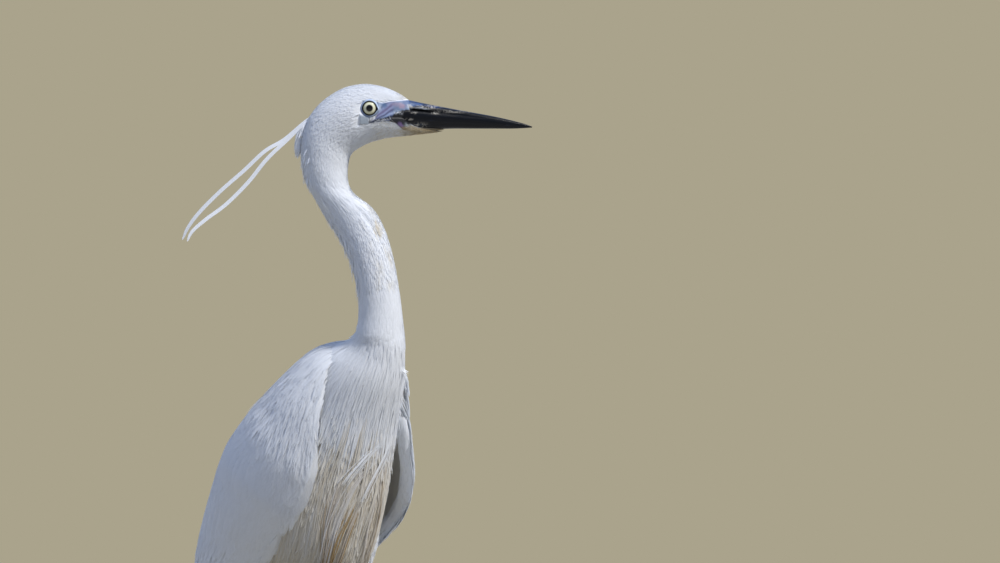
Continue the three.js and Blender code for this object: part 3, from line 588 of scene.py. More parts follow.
def eyeball(sign):
    rings, around = 40, 48
    polar = np.linspace(0, math.pi, rings)
    turn = np.arange(around) * 2 * math.pi / around
    polar, turn = np.meshgrid(polar, turn, indexing="ij")
    off_axis = EYE_RADIUS * np.sin(polar)
    points = eye_centre(sign) + np.stack(
        [off_axis * np.cos(turn), sign * EYE_RADIUS * np.cos(polar), off_axis * np.sin(turn)], -1
    )
    spokes = 0.5 + 0.5 * np.sin(turn * 24 + 2 * np.sin(turn * 7))
    iris = blend(rgb("#e3e2c6"), rgb("#bfc193"), 0.45 * smooth_step(off_axis, 3.0, 4.0))
    iris = blend(iris, rgb("#f1f0d8"), 0.3 * spokes * (1 - smooth_step(off_axis, 2.4, 3.6)))
    in_iris = (polar < math.pi / 2) * (1 - smooth_step(off_axis, IRIS_RADIUS - 0.15, IRIS_RADIUS + 0.15))
    in_iris = in_iris * smooth_step(off_axis, PUPIL_RADIUS - 0.12, PUPIL_RADIUS + 0.12)
    colours = blend(rgb("#040405"), iris, in_iris).reshape(-1, 3)
    side = SIDE_NAMES[sign]
    quads = quads_between(rings, around, True)
    piece = new_piece(f"eyeball_{side}", points.reshape(-1, 3), quads, wet_eye, "eye", colours=colours)
    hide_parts(f"eye_{side}")


# Lids: a thin dark rim against the ball, drawn out to a corner towards the bill, then a low fleshy ring
# of pale blue skin that ends under the feathers.
lid_skin, tree, shader = new_material("lid_skin", {"Roughness": 0.5, "Specular IOR Level": 0.2})
tree.links.new(painted(tree, "tint"), shader.inputs["Base Color"])


def lids(sign):
    around, across = 72, 9
    turn = np.arange(around) * 2 * math.pi / around
    t = np.linspace(0, 1, across)
    turn, t = np.meshgrid(turn, t, indexing="ij")
    # the opening is drawn out towards the bill and a little behind
    corner = 0.9 * np.exp(-((((turn + math.pi) % (2 * math.pi) - math.pi) + 0.12) / 0.22) ** 2)
    back = 0.25 * np.exp(-(((turn - math.pi) / 0.3) ** 2))
    radius = 4.3 + 1.9 * t + (corner + back) * (1 - 0.5 * t)
    height = np.sqrt(np.maximum(EYE_RADIUS**2 - np.minimum(radius, EYE_SHOWING) ** 2, 0)) + 0.12
    swell = 0.45 * np.sin(math.pi * np.clip((t - 0.25) / 0.75, 0, 1))
    height = height + swell - 1.6 * smooth_step(t, 0.55, 1.0)
    tilt = -0.02 * radius * np.cos(turn)
    centre = eye_centre(sign)
    points = centre + np.stack([radius * np.cos(turn), sign * (height + tilt), radius * np.sin(turn)], -1)
    colour = blend(rgb("#0b0b0e"), RING_BLUE, smooth_step(t, 0.36, 0.5))
    # the ring is painted darker blue behind and below the eye: painted shade
    shade_behind_eye = (0.5 - 0.5 * np.cos(turn - 0.5)) ** 2
    colour = blend(colour, rgb("#4f6c9c"), 0.75 * smooth_step(t, 0.42, 0.6) * shade_behind_eye)
    # the last row lies on the first, so the ring is shut
    points, colour = (np.concatenate([rows, rows[:1]]).reshape(-1, 3) for rows in (points, colour))
    name, quads = f"lids_{SIDE_NAMES[sign]}", quads_between(around + 1, across, False)
    new_piece(name, points, quads, lid_skin, "plumage", colours=colour)


for sign in SIDE_NAMES:
    eyeball(sign)
    lids(sign)

# Bill: two long halves of black horn with a painted blue highlight along the ridge. The horn is finely
# scratched, pale and scaling at its base, with a long slit nostril that runs on forward as a groove.
BILL = [
    (62.0, 534.6, 520.8, 8.6, 513.0),
    (68.0, 534.6, 521.3, 7.7, 513.3),
    (74.3, 533.6, 521.6, 6.8, 514.0),
    (82, 532.0, 521.3, 6.1, 513.6),
    (92, 530.0, 520.9, 5.3, 513.9),
    (104, 527.7, 520.2, 4.5, 514.3),
    (118, 525.2, 519.4, 3.7, 514.3),
    (132, 522.6, 518.2, 2.9, 514.3),
    (144, 519.9, 517.0, 2.0, 514.3),
    (152, 517.8, 516.0, 1.1, 514.6),
    (157.6, 515.9, 515.5, 0.25, 515.0),
]
RIDGE_HIGHLIGHT_BLUE = rgb("#1c2944")

bill_horn, tree, shader = new_material("bill_horn_scuffed", {"Roughness": 0.32, "Specular IOR Level": 0.22})
where = add_node(tree, "ShaderNodeTexCoord").outputs["Object"]
# scratches run along the bill: noise 12 times longer than it is tall, about 0.7 mm apart
stretched = add_node(tree, "ShaderNodeMapping", {"Scale": (110.0, 1300.0, 1300.0)}, {"Vector": where})
scratch_look = {"Scale": 1.0, "Detail": 4.0, "Roughness": 0.65}
scratches = add_node(tree, "ShaderNodeTexNoise", scratch_look, {"Vector": stretched.outputs[0]})
scratches = scratches.outputs["Fac"]
fleck_look = {"Scale": 430.0, "Detail": 2.5, "Distortion": 0.7}
flecks = add_node(tree, "ShaderNodeTexNoise", fleck_look, {"Vector": where}).outputs["Fac"]
# pale blue streaks are painted where the scratch noise is high: a painted highlight along the scratches
highlight_streak_range = {"From Min": 0.6, "From Max": 0.8, "To Max": 0.16}
streaks = add_node(tree, "ShaderNodeMapRange", highlight_streak_range, {"Value": scratches})
highlight_streaked = mix_colours(tree, streaks.outputs[0], painted(tree, "tint"), "#5f6f92")
tree.links.new(mix_colours(tree, flake_edges(tree, flecks), highlight_streaked, "#c4bfb4"), shader.inputs["Base Color"])
add_relief(tree, shader, 0.4, 0.0005, scratches)


def bill_half(upper):
    table = through(np.array(BILL), np.linspace(0, len(BILL) - 1, 130))
    x, culmen, mouth, half_width, gonys = table.T[..., None]
    across, along = np.meshgrid(np.linspace(-1, 1, 49), x[:, 0])
    # a section: from one cutting edge up over the ridge to the other
    turn = across * math.pi / 2
    side = np.sin(turn)
    rise = np.cos(turn) ** 0.85
    peak = culmen if upper else gonys
    z = mouth + (peak - mouth) * rise
    y = side * half_width
    if upper:
        # the nasal groove: a furrow along each side, deepest at the nostril
        groove_z = np.interp(x, [70, 80, 95, 125], [528.3, 526.8, 524.9, 521.5])
        deep = np.interp(x, [66, 73, 92, 112, 132], [0.0, 0.9, 0.8, 0.35, 0.0])
        tall = np.interp(x, [70, 95, 130], [1.5, 1.3, 0.8])
        y -= np.sign(side) * deep * np.exp(-(((z - groove_z) / tall) ** 2))
        slit_z = np.interp(x, [74, 84, 91], [527.3, 526.4, 525.6])
        slit = np.exp(-(((z - slit_z) / 0.42) ** 2))
        slit = slit * smooth_step(along, 73.2, 75.5) * (1 - smooth_step(along, 88, 91.5))
        y -= np.sign(side) * 1.5 * slit
    else:
        # the rami meet in a shallow furrow along the side
        furrow = np.exp(-(((z - (mouth + peak) / 2) / 0.8) ** 2))
        y -= np.sign(side) * np.interp(x, [66, 80, 130], [0.5, 0.35, 0.0]) * furrow
        slit = np.zeros_like(y)
    points = np.stack([along, BILL_PLANE + y, z], -1)
    # the top of the upper half is painted blue, most towards the base: a painted highlight along the ridge
    ridge = smooth_step(rise, 0.82, 1.0) if upper else np.zeros_like(rise)
    ridge_highlight = np.clip(ridge * np.interp(x, [70, 95, 150], [1.0, 0.7, 0.25]), 0, 1)
    colour = blend(HORN_BLACK, RIDGE_HIGHLIGHT_BLUE, ridge_highlight)
    if upper:
        base = (1 - smooth_step(along, 76, 84)) * smooth_step(z, 528.6, 529.8)
        colour = blend(colour, rgb("#3b4e78"), 0.7 * base)
    colour = marked(points, colour)
    # the nostril slit and the line of the mouth are painted near black: painted shade in the slit and between
    # the halves
    colour = blend(colour, rgb("#020203"), np.clip(slit * 1.1, 0, 1))
    colour = blend(colour, rgb("#050507"), 0.8 * np.exp(-(((z - mouth) / 0.35) ** 2)))
    # a closed section: the flat cutting face joins the two edges
    face = np.stack([along[:, ::-1], BILL_PLANE + y[:, ::-1], np.broadcast_to(mouth, y.shape)], -1)[:, 1:-1:4]
    rings = capped(np.concatenate([points, face], 1), [0.4, 0, 0])
    colour = np.concatenate([colour, np.broadcast_to(HORN_BLACK, face.shape)], 1)
    wear = np.concatenate([flaking(points), np.zeros(face.shape[:2])], 1)
    colour, wear = (np.concatenate([rows[:1], rows, rows[-1:]]) for rows in (colour, wear))
    title = "upper" if upper else "lower"
    colour, worn = colour.reshape(-1, 3), {"wear": wear.ravel()}
    piece = ringed_piece(f"bill_horn_{title}", rings, bill_horn, "bill", colour, floats=worn)
    piece.data.set_sharp_from_angle(angle=math.radians(50))
    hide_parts(f"bill_{title}")


bill_half(True)
bill_half(False)

# Plumage: every feather is a thin vane of keratin barbs, matt white, its barbs slanting to the tip.
# Vanes are laid along a surface from a sunk root to a slightly raised tip.
PLUME_WHITE = rgb("#f5f8fc")
PLUME_CREAM = rgb("#d8cbad")
PLUME_STAIN = rgb("#a98e5c")
THROUGH_VANES = 0.33
PATCH = 0.003  # side of a feather's patch on the unwrapped skin

plumage_look = {"Roughness": 0.7, "Specular IOR Level": 0.25, "Sheen Weight": 0.25, "Sheen Roughness": 0.5}
white_plumage, tree, shader = new_material("white_feather_keratin", plumage_look)
white_plumage.use_backface_culling = False
vane_tint = painted(tree, "tint")
tree.links.new(vane_tint, shader.inputs["Base Color"])
vane_uv = add_node(tree, "ShaderNodeUVMap", {"uv_map": "vane"}).outputs[0]
# barbs, drawn about 1 mm apart so that they show: streaks along the vane that fan to its edges
barb_look = {"Scale": 1.0, "Detail": 3.0, "Roughness": 0.6}
barb_lines = add_node(tree, "ShaderNodeTexNoise", barb_look, {"Vector": vane_uv})
barbs = add_relief(tree, shader, 0.5, 0.0005, barb_lines.outputs["Fac"])
# a vane is thin enough to let a third of the light through
through_light = add_node(tree, "ShaderNodeBsdfTranslucent", links={"Color": vane_tint, "Normal": barbs})
both = {1: shader.outputs[0], 2: through_light.outputs[0]}
vane_mix = add_node(tree, "ShaderNodeMixShader", {0: THROUGH_VANES}, both)
tree.links.new(vane_mix.outputs[0], tree.nodes["Material Output"].inputs["Surface"])


def vane_width(share, blunt, root=0.45):
    return np.minimum(1, root + share * 2.4) * np.sqrt(np.maximum(0.002, 1 - share**blunt))


def lay_vanes(
    name, surface, start, end, lift, width, tint, unwrap, steps=3, across=3, blunt=2.5, cup=0.12,
    slant=0.35, bow=0.0, ragged=0.0, twist=0.0, grain=1.0,
):
    """Vanes on a surface, from start to end (both pairs of the surface's own coordinates).

    lift is (root, middle, tip) over the surface; tint is a colour per vane or per point; unwrap is each
    vane's place on the unwrapped skin. blunt rounds the tip, cup curls the edges in, slant draws them
    forward, bow bends the vane sideways, ragged makes its width uneven, twist turns it about its shaft by
    degrees and grain scales its barbs."""
    count = len(start)
    share = np.linspace(0, 1, steps + 1)[None, :]
    path = start[:, None, :] + (end - start)[:, None, :] * share[..., None]
    if np.any(bow):
        path[..., 1] += np.asarray(bow).reshape(-1, 1) * np.sin(math.pi * share)
    root, middle, tip = (np.broadcast_to(np.asarray(v, float).reshape(-1, 1), (count, 1)) for v in lift)
    height = root * (1 - share) ** 2 + 2 * middle * share * (1 - share) + tip * share**2
    centre = surface(path[..., 0], path[..., 1], height)
    out = unit(surface(path[..., 0], path[..., 1], height + 2.0) - centre)
    ahead = unit(np.gradient(centre, axis=1))
    side = unit(np.cross(ahead, out))
    out = np.cross(side, ahead)
    if np.any(twist):
        lean = np.radians(np.asarray(twist).reshape(-1, 1, 1))
        side, out = side * np.cos(lean) + out * np.sin(lean), out * np.cos(lean) - side * np.sin(lean)
    widest = np.asarray(width, float).reshape(-1, 1)
    wide = widest * vane_width(share, blunt)
    if ragged:
        wide = wide * (1 + ragged * dice.uniform(-1, 1, (count, steps + 1)))
    edge = np.linspace(-1, 1, across)
    shape = (count, steps + 1, across)
    wide = wide[..., None]
    drawn = slant * wide * np.abs(edge) * (1 - share[..., None] ** 3)
    points = (
        centre[:, :, None, :]
        + side[:, :, None, :] * (0.5 * wide * edge)[..., None]
        - out[:, :, None, :] * (cup * wide * edge**2)[..., None]
        + ahead[:, :, None, :] * drawn[..., None]
    )
    cell = quads_between(steps + 1, across, False)
    quads = (np.arange(count)[:, None, None] * (steps + 1) * across + cell).reshape(-1, 4)
    u = np.broadcast_to((edge * 0.5 + 0.5)[None, None, :], shape)
    v = np.broadcast_to(share[..., None], shape)
    bake = np.stack([unwrap[:, 0, None, None] + PATCH * u, unwrap[:, 1, None, None] + PATCH * v], -1)
    # in the vane's own map a unit across is one barb group, and ten times as much along it
    offset = dice.uniform(0, 40, (count, 1, 1))
    reach = np.linalg.norm(centre[:, -1] - centre[:, 0], axis=-1)[:, None, None]
    across_barbs = offset + (u - 0.5) * widest[..., None] * 0.9 * grain
    along_barbs = offset + (v * reach - np.abs(u - 0.5) * 4) * 0.12 * grain
    vane = np.stack([across_barbs, along_barbs], -1)
    if tint.ndim == 2:
        tint = tint[:, None, None, :]
    return new_piece(
        name, points.reshape(-1, 3), quads, white_plumage, "plumage",
        uvs={"OFBake": bake.reshape(-1, 2), "vane": vane.reshape(-1, 2)},
        colours=np.ascontiguousarray(np.broadcast_to(tint, shape + (3,))).reshape(-1, 3),
    )


def unwrapped(rib, angle):
    return np.stack([(angle % 360) / 360, rib / LAST_RIB], -1)


def whites(count, spread=0.03, cream=None):
    tone = 1 - np.abs(dice.normal(0, spread, (count, 1)))
    colour = PLUME_WHITE * tone
    if cream is not None:
        colour = colour * (1 - cream[:, None]) + PLUME_CREAM * cream[:, None]
    return colour


def scatter(surface, count, rib_range, angle_range, density=None):
    """Roots spread evenly by area over a stretch of a surface."""
    tries = count * 6
    rib = dice.uniform(*rib_range, tries)
    angle = dice.uniform(*angle_range, tries)
    here = surface(rib, angle, 0.0)
    d_rib = surface(rib + 0.02, angle, 0.0) - here
    d_angle = surface(rib, angle + 1.0, 0.0) - here
    area = np.linalg.norm(np.cross(d_rib, d_angle), axis=-1)
    if density is not None:
        area = area * density(rib, angle, here)
    picked = dice.choice(tries, count, replace=False, p=area / area.sum())
    return rib[picked], angle[picked], here[picked], np.linalg.norm(d_rib[picked], axis=-1) / 0.02


# Head feathers: short and close, like plush, lying back from the bill; longer and looser on the nape.
# They leave the lores, the eye ring and a patch behind the gape bare.
def head_bareness(points):
    away = np.hypot(points[..., 0] - EYE_MIDDLE[0], points[..., 2] - EYE_MIDDLE[1])
    bald = np.maximum(lore_share(points), cheek_share(points))
    return np.maximum(bald, (away < 6.2) * 1.0)


HEAD_FEATHERS = 12200
BARE_LIMIT = 0.25  # no feather grows or ends where the skin is barer than this


def head_feathers(title, ribs):
    rib, angle, here, speed = scatter(
        flesh, HEAD_FEATHERS, ribs, (0, 360),
        lambda r, a, p: (head_bareness(p) < BARE_LIMIT) * np.interp(r, [0, 1.5, 4, 9], [2.0, 1.6, 1.2, 1.0]),
    )
    long = np.interp(rib, [0, 1, 3, 6, 9], [2.4, 3.6, 5.5, 8.0, 9.5]) * dice.uniform(0.8, 1.2, HEAD_FEATHERS)
    depth = coat_depth(rib)
    start = np.stack([rib, angle], -1)
    end = np.stack([rib + long / speed, angle + dice.normal(0, 2.5, HEAD_FEATHERS)], -1)
    end[:, 0] = np.minimum(end[:, 0], rib + 1.6)

    def path_bareness():
        halfway = 0.5 * (start + end)
        return np.maximum(*(head_bareness(flesh(v[:, 0], v[:, 1], 0.0)) for v in (halfway, end)))

    # at the edge of bare skin they are short
    for _ in range(3):
        over = path_bareness() >= BARE_LIMIT
        end[over] = 0.5 * (start[over] + end[over])
    clear = np.flatnonzero((path_bareness() < BARE_LIMIT) & (head_bareness(here) < 0.15))
    rib, angle, here, long, depth = (v[clear] for v in (rib, angle, here, long, depth))
    start, end = start[clear], end[clear]
    # on the cheek under the gape and on the chin they are ruffled and a little muddy
    ruffled = smooth_step(here[:, 0], 50, 58) * (1 - smooth_step(here[:, 2], 516, 521))
    end[:, 1] += ruffled * dice.normal(0, 9, len(rib))
    muddy = ruffled * dice.uniform(-0.3, 0.4, len(rib)) + 0.9 * smooth_step(here[:, 0], 66, 86)
    lay_vanes(
        title, flesh, start, end,
        (-depth - 0.2, -0.35 * depth, 0.05 + dice.uniform(-0.15, 0.2, len(rib)) * (1 + 1.5 * ruffled)),
        long * 0.2, whites(len(rib), 0.015, np.clip(muddy, 0, 1)), unwrapped(rib, angle), steps=3,
        blunt=2.2, cup=0.05, slant=0.6,
    )


head_feathers("face_feathers", (0.02, 3.6))
head_feathers("crown_feathers", (3.6, 8.8))

# Neck feathers: narrow and lance-shaped, lying down the neck in long close streaks. A few ends stand
# off along the back of the neck, and its front is soiled in blotches.
NECK_FEATHERS = 9000


def neck_feathers(title, ribs):
    rib, angle, here, speed = scatter(flesh, NECK_FEATHERS, ribs, (0, 360))
    long = np.interp(rib, [7.6, 12, 17, 21], [11, 15, 20, 30]) * dice.uniform(0.75, 1.25, NECK_FEATHERS)
    depth = coat_depth(rib)
    # here and there a feather's end stands off along the back of the neck, most at the bend
    loose = 0.012 + 0.07 * bump_at(rib, 14.3, 1.2) + 0.03 * bump_at(rib, 9.5, 1.5)
    stray = dice.uniform(1.2, 2.8, NECK_FEATHERS) * (dice.uniform(0, 1, NECK_FEATHERS) < loose)
    stray = stray * (np.cos(np.radians(angle)) > 0.5)
    blotch = smooth_step(ripple(here, 14, 2.0), 0.0, 0.7) * bump_at(angle, 208, 26) * bump_at(rib, 13.8, 2.2)
    fainter = 0.35 * smooth_step(ripple(here, 11, 4.0), 0.2, 0.9)
    blotch = blotch + fainter * bump_at(angle, 235, 40) * bump_at(rib, 15.5, 3)
    start = np.stack([rib, angle], -1)
    end = np.stack([rib + np.minimum(long / speed, 2.2), angle + dice.normal(0, 3, NECK_FEATHERS)], -1)
    lay_vanes(
        title, flesh, start, end,
        (-depth - 0.3, -0.3 * depth, 0.05 + dice.uniform(-0.3, 0.2, NECK_FEATHERS) + stray),
        np.interp(rib, [7.6, 12, 18, 20], [1.5, 1.8, 2.2, 2.6]),
        whites(NECK_FEATHERS, 0.02, np.clip(0.6 * blotch, 0, 1)), unwrapped(rib, angle), steps=4,
        blunt=1.8, cup=0.05, slant=0.6, bow=dice.normal(0, 1.2, NECK_FEATHERS),
    )


neck_feathers("upper_neck_feathers", (7.6, 13.5))
neck_feathers("lower_neck_feathers", (13.5, 20.4))

# Mane: at the foot of the neck longer, looser feathers bridge the step to the body and overlie the
# start of the breast plumes.
MANE = 4600
rib, angle, here, speed = scatter(flesh, MANE, (15.8, 20.6), (80, 320))
long = np.interp(rib, [15.8, 18, 20.6], [24, 36, 30]) * dice.uniform(0.8, 1.15, MANE)
start = np.stack([rib, angle], -1)
drawn_in = 180 + (angle - 180) * 0.92 + dice.normal(0, 1.6, MANE)
end = np.stack([rib + np.minimum(long / speed, 3.0), drawn_in], -1)
bridge = 2.2 * bump_at(rib, 18.3, 1.6)
tip_lift = 0.9 * smooth_step(rib, 16, 18.5) + dice.uniform(-0.7, 0.9, MANE) * smooth_step(rib, 16.4, 18.2)
lay_vanes(
    "neck_mane", flesh, start, end, (-2.2, 0.6 + bridge, tip_lift), dice.uniform(1.2, 2.1, MANE),
    whites(MANE, 0.03), unwrapped(rib, angle), steps=6, blunt=1.8, cup=0.05, slant=0.6,
    bow=dice.normal(0, 1.0, MANE),
)

# Body feathers: broad soft contour feathers over breast, flanks, belly and rump, outside the wings. They
# leave free what the folded wings cover, so the cloak, the wings' own shape, comes first: distance
# along the body's axis, height of its middle, half height, half width.
CLOAK = [
    (98, 8, 10, 12),
    (88, 8, 17, 20),
    (83, 7, 25, 30),
    (73, 5, 31.5, 37),
    (64, 4, 36, 41),
    (48, 2, 42.5, 47),
    (32, 0, 48.5, 51),
    (16, -1, 54, 56),
    (0, -1, 56, 58),
    (-14, -1, 57, 59),
    (-39, -1, 53.5, 55.5),
    (-63, -2, 49, 51),
    (-87, -3, 44.5, 46.5),
    (-104, -4, 40, 41.5),
    (-130, -8, 31, 33),
    (-165, -15, 20, 22),
    (-195, -22, 10, 12),
    (-210, -26, 4.5, 6),
]
# how far the right and the left wing hang away from the body there
HANG_OPEN = [
    (98, 0, 10),
    (83, 0, 15),
    (73, 0, 13),
    (46, 2, 12),
    (20, 3, 20),
    (0, 3, 26),
    (-22, 3, 28),
    (-45, 3, 24),
    (-75, 2, 14),
    (-110, 0, 5),
    (-150, 0, 0),
]
# the angle at which the wings end below
LOWER_EDGE = [(98, 20), (90, 5), (75, -8), (46, -30), (0, -46), (-60, -42), (-130, -40), (-210, -40)]
DENSE = np.arange(-240.0, 131.0)


def eased(rows):
    """Rows of (distance along the axis, values...) as smooth curves, one millimetre apart."""
    rows = np.array(rows, float)[::-1]
    kernel = np.hanning(19)
    kernel /= kernel.sum()
    curves = []
    for column in rows.T[1:]:
        dense = np.interp(DENSE, rows[:, 0], column)
        curves.append(np.convolve(np.pad(dense, 9, mode="edge"), kernel, mode="valid"))
    return curves


CLOAK_CURVES = eased(CLOAK)
OPEN_CURVES = dict(zip((-1, 1), eased(HANG_OPEN)))
EDGE_CURVE = eased(LOWER_EDGE)[0]


def value_at(curve, along):
    return np.interp(along, DENSE, curve)


def cloak(sign, along, angle, lift):
    """The outside of the folded wings: distance along the body, degrees above the side, lift."""
    along, angle, lift = np.broadcast_arrays(along, angle, lift)
    above, tall, wide = (value_at(curve, along) for curve in CLOAK_CURVES)
    lower = smooth_step(60 - angle, 0, 80)
    hang = lower * value_at(OPEN_CURVES[sign], along)
    turn = np.radians(angle)
    aside = (wide + lift) * np.cos(turn) + hang
    return in_body(along, above + (tall + lift) * np.sin(turn), sign * aside)


def under_wing(points):
    """Whether a point of the body lies where a folded wing covers it."""
    off = points - BODY_CENTRE
    along, above, aside = off @ forward, off @ dorsal, np.abs(off @ leftward)
    turn = np.degrees(np.arctan2(above - value_at(CLOAK_CURVES[0], along), aside))
    return (along < 62) & (turn > value_at(EDGE_CURVE, along) + 14) & (turn < 64)


BODY_FEATHERS = 9200
rib, angle, here, speed = scatter(
    flesh, BODY_FEATHERS, (18.6, 28.6), (0, 360), lambda r, a, p: ~under_wing(p) * 1.0
)
long = np.interp(rib, [18.6, 21, 24, 28], [20, 26, 32, 34]) * dice.uniform(0.75, 1.25, BODY_FEATHERS)
start = np.stack([rib, angle], -1)
end = np.stack([rib + np.minimum(long / speed, 2.4), angle + dice.normal(0, 4, BODY_FEATHERS)], -1)
end[:, 0] = np.minimum(end[:, 0], LAST_RIB + 0.2)
# towards the belly the feathers are painted cream: partly stain, partly painted warm shade
belly = 1 - smooth_step(here[:, 2], 290, 370)
lay_vanes(
    "body_feathers", flesh, start, end,
    (-BODY_COAT - 1, -0.5, 0.6 + dice.uniform(-1.0, 1.4, BODY_FEATHERS)),
    dice.uniform(2.2, 4.2, BODY_FEATHERS),
    whites(BODY_FEATHERS, 0.02, 0.6 * belly * dice.uniform(0.5, 1, BODY_FEATHERS)),
    unwrapped(rib, angle), steps=4, blunt=2.0, bow=dice.normal(0, 1.5, BODY_FEATHERS),
)

# Breast plumes: long loose filaments from the foot of the neck that hang down over the belly, clump
# into wisps and draw together towards the legs; some are stained ochre by mud.
def stain_share(points):
    x, z = points[..., 0], points[..., 2]
    middle = np.interp(z, [215, 250, 300, 330], [22, 33, 48, 56])
    band = np.exp(-(((x - middle) / 20) ** 2))
    return band * (1 - smooth_step(z, 285, 335))


BREAST_WISPS = 210
STRANDS = 10
FILAMENTS = BREAST_WISPS * STRANDS
FILAMENT_STEPS = 14
WISP_SPREAD = 72  # degrees from the breast's middle line to the outermost wisps
wisp_side = dice.uniform(-1, 1, BREAST_WISPS)
wisp_rib = 20.2 + 3.2 * np.sqrt(dice.uniform(0, 1, BREAST_WISPS))
wisp_fall = dice.uniform(2.6, 4.6, BREAST_WISPS)
wisp_drift = dice.normal(12, 8, BREAST_WISPS)
side = np.repeat(wisp_side, STRANDS) + dice.normal(0, 0.07, FILAMENTS)
rib = np.repeat(wisp_rib, STRANDS) + dice.normal(0, 0.25, FILAMENTS)
fall = np.repeat(wisp_fall, STRANDS) * dice.uniform(0.75, 1.1, FILAMENTS)
angle = 180 + side * WISP_SPREAD
gather = dice.uniform(0.5, 0.8, BREAST_WISPS)
drift = np.repeat(WISP_SPREAD * wisp_side * gather + wisp_drift, STRANDS) + dice.normal(0, 1.6, FILAMENTS)
start = np.stack([rib, angle], -1)
end = np.stack([rib + fall, 180 + drift], -1)
loose = np.repeat(dice.uniform(0, 1, BREAST_WISPS), STRANDS)
# the filaments are painted cream all over: painted warm shade of the breast
cream_shaded = whites(FILAMENTS, 0.03, dice.uniform(0.3, 0.65, FILAMENTS))
share = np.linspace(0, 1, FILAMENT_STEPS + 1)
path_rib = rib[:, None] + fall[:, None] * share
path_angle = angle[:, None] + (end[:, 1] - angle)[:, None] * share
wisp_stain = np.repeat(np.clip(dice.uniform(-5, 1, BREAST_WISPS), 0, 1), STRANDS)[:, None]
strand_stain = np.clip(0.6 * wisp_stain + dice.uniform(0, 0.1, (FILAMENTS, 1)), 0, 1)
stained = stain_share(flesh(path_rib, path_angle, 0.0)) * strand_stain
lay_vanes(
    "breast_plumes", flesh, start, end, (-3.5, 0.6 + 0.8 * loose, 0.7 + 2.2 * loose**2),
    dice.uniform(0.5, 1.2, FILAMENTS),
    blend(cream_shaded[:, None, :], PLUME_STAIN, 0.9 * stained)[:, :, None, :], unwrapped(rib, angle),
    steps=FILAMENT_STEPS, blunt=3.0, cup=0.3, slant=0.0,
    bow=np.repeat(dice.normal(0, 2.5, BREAST_WISPS), STRANDS),
)

# Strands that mud has stained: long thin ones that cross the breast on their way down to the belly.
# Each is a run of places in the photo's frame, then how stained it is and how many filaments it holds.
STAINED = [
    (
        [(395, 415), (388, 437), (377, 455), (362, 474),
         (348, 494), (337, 521), (330, 545), (322, 575)],
        0.35, 9,
    ),
    ([(372, 462), (362, 478), (350, 508), (341, 524), (333, 540), (326, 562), (322, 580)], 1.0, 12),
    (
        [(397, 420), (391, 440), (384, 462), (380, 490),
         (377, 512), (372, 532), (364, 555), (358, 575)],
        0.75, 7,
    ),
    ([(340, 462), (331, 484), (325, 514), (323, 545), (322, 575)], 0.75, 4),
    ([(358, 440), (346, 468), (336, 500), (328, 539), (322, 572)], 0.55, 6),
    ([(388, 450), (381, 478), (374, 503), (367, 530), (358, 565)], 0.6, 5),
    ([(375, 480), (362, 496), (353, 515), (343, 539), (331, 568)], 0.9, 8),
    ([(392, 425), (384, 440), (370, 452), (354, 468), (342, 484)], 0.0, 7),
    ([(398, 405), (394, 425), (386, 448), (372, 476), (360, 500)], 0.05, 7),
]
STRAND_POINTS = 25
search_rib, search_angle = np.meshgrid(np.linspace(18.5, 28, 240), np.linspace(120, 330, 260), indexing="ij")
search_points = flesh(search_rib, search_angle, 0.0)
facing = np.cross(np.gradient(search_points, axis=0), np.gradient(search_points, axis=1))[..., 1]
facing = facing * np.sign(facing[120, 180]) > 0  # a place of the grid that is known to face the camera
search_columns, search_rows = photo_place(search_points)


def on_breast(column, row):
    """Rib and angle of the near side of the body at a place of the photo's frame."""
    miss = (search_columns - column) ** 2 + (search_rows - row) ** 2 + 1e6 * ~facing
    found = np.unravel_index(np.argmin(miss), miss.shape)
    return search_rib[found], search_angle[found]


strand_paths, strand_tints, strand_lifts, strand_widths = [], [], [], []
for run, stain, filaments in STAINED:
    table = np.array([on_breast(*place) for place in run])
    for _ in range(filaments):
        share = np.linspace(0, 1, STRAND_POINTS)
        path = through(table, share * (len(table) - 1))
        path[:, 1] += (dice.normal(0, 2.2) + dice.normal(0, 1.5) * share) * smooth_step(share, -0.2, 0.4)
        strand_paths.append(path)
        amount = np.clip(stain * dice.uniform(0.4, 1.1) * smooth_step(share, 0.0, 0.5), 0, 1)
        strand_tints.append(blend(PLUME_WHITE * dice.uniform(0.94, 1), PLUME_STAIN, amount))
        strand_lifts.append(dice.uniform(2.0, 3.6))
        strand_widths.append(dice.uniform(0.6, 1.1))
strand_paths, strand_lifts = np.array(strand_paths), np.array(strand_lifts)


def strand_surface(number, share, lift):
    """Runs along strand `number` (rounded) as share goes from 0 to 1."""
    which = np.clip(np.round(number).astype(int), 0, len(strand_paths) - 1)
    at = np.clip(share, 0, 1) * (STRAND_POINTS - 1)
    i = np.minimum(at.astype(int), STRAND_POINTS - 2)
    here, there = strand_paths[which, i], strand_paths[which, i + 1]
    place = here * (1 - (at - i))[..., None] + there * (at - i)[..., None]
    return flesh(place[..., 0], place[..., 1], lift)


numbers = np.arange(len(strand_paths), dtype=float)
lay_vanes(
    "stained_strands", strand_surface, np.stack([numbers, np.zeros(len(numbers))], -1),
    np.stack([numbers, np.ones(len(numbers))], -1), (-1.5, strand_lifts, strand_lifts + 0.5),
    np.array(strand_widths), np.array(strand_tints)[:, :, None, :],
    unwrapped(strand_paths[:, 0, 0], strand_paths[:, 0, 1]), steps=STRAND_POINTS - 1, blunt=6, cup=0.3,
    slant=0.0,
)

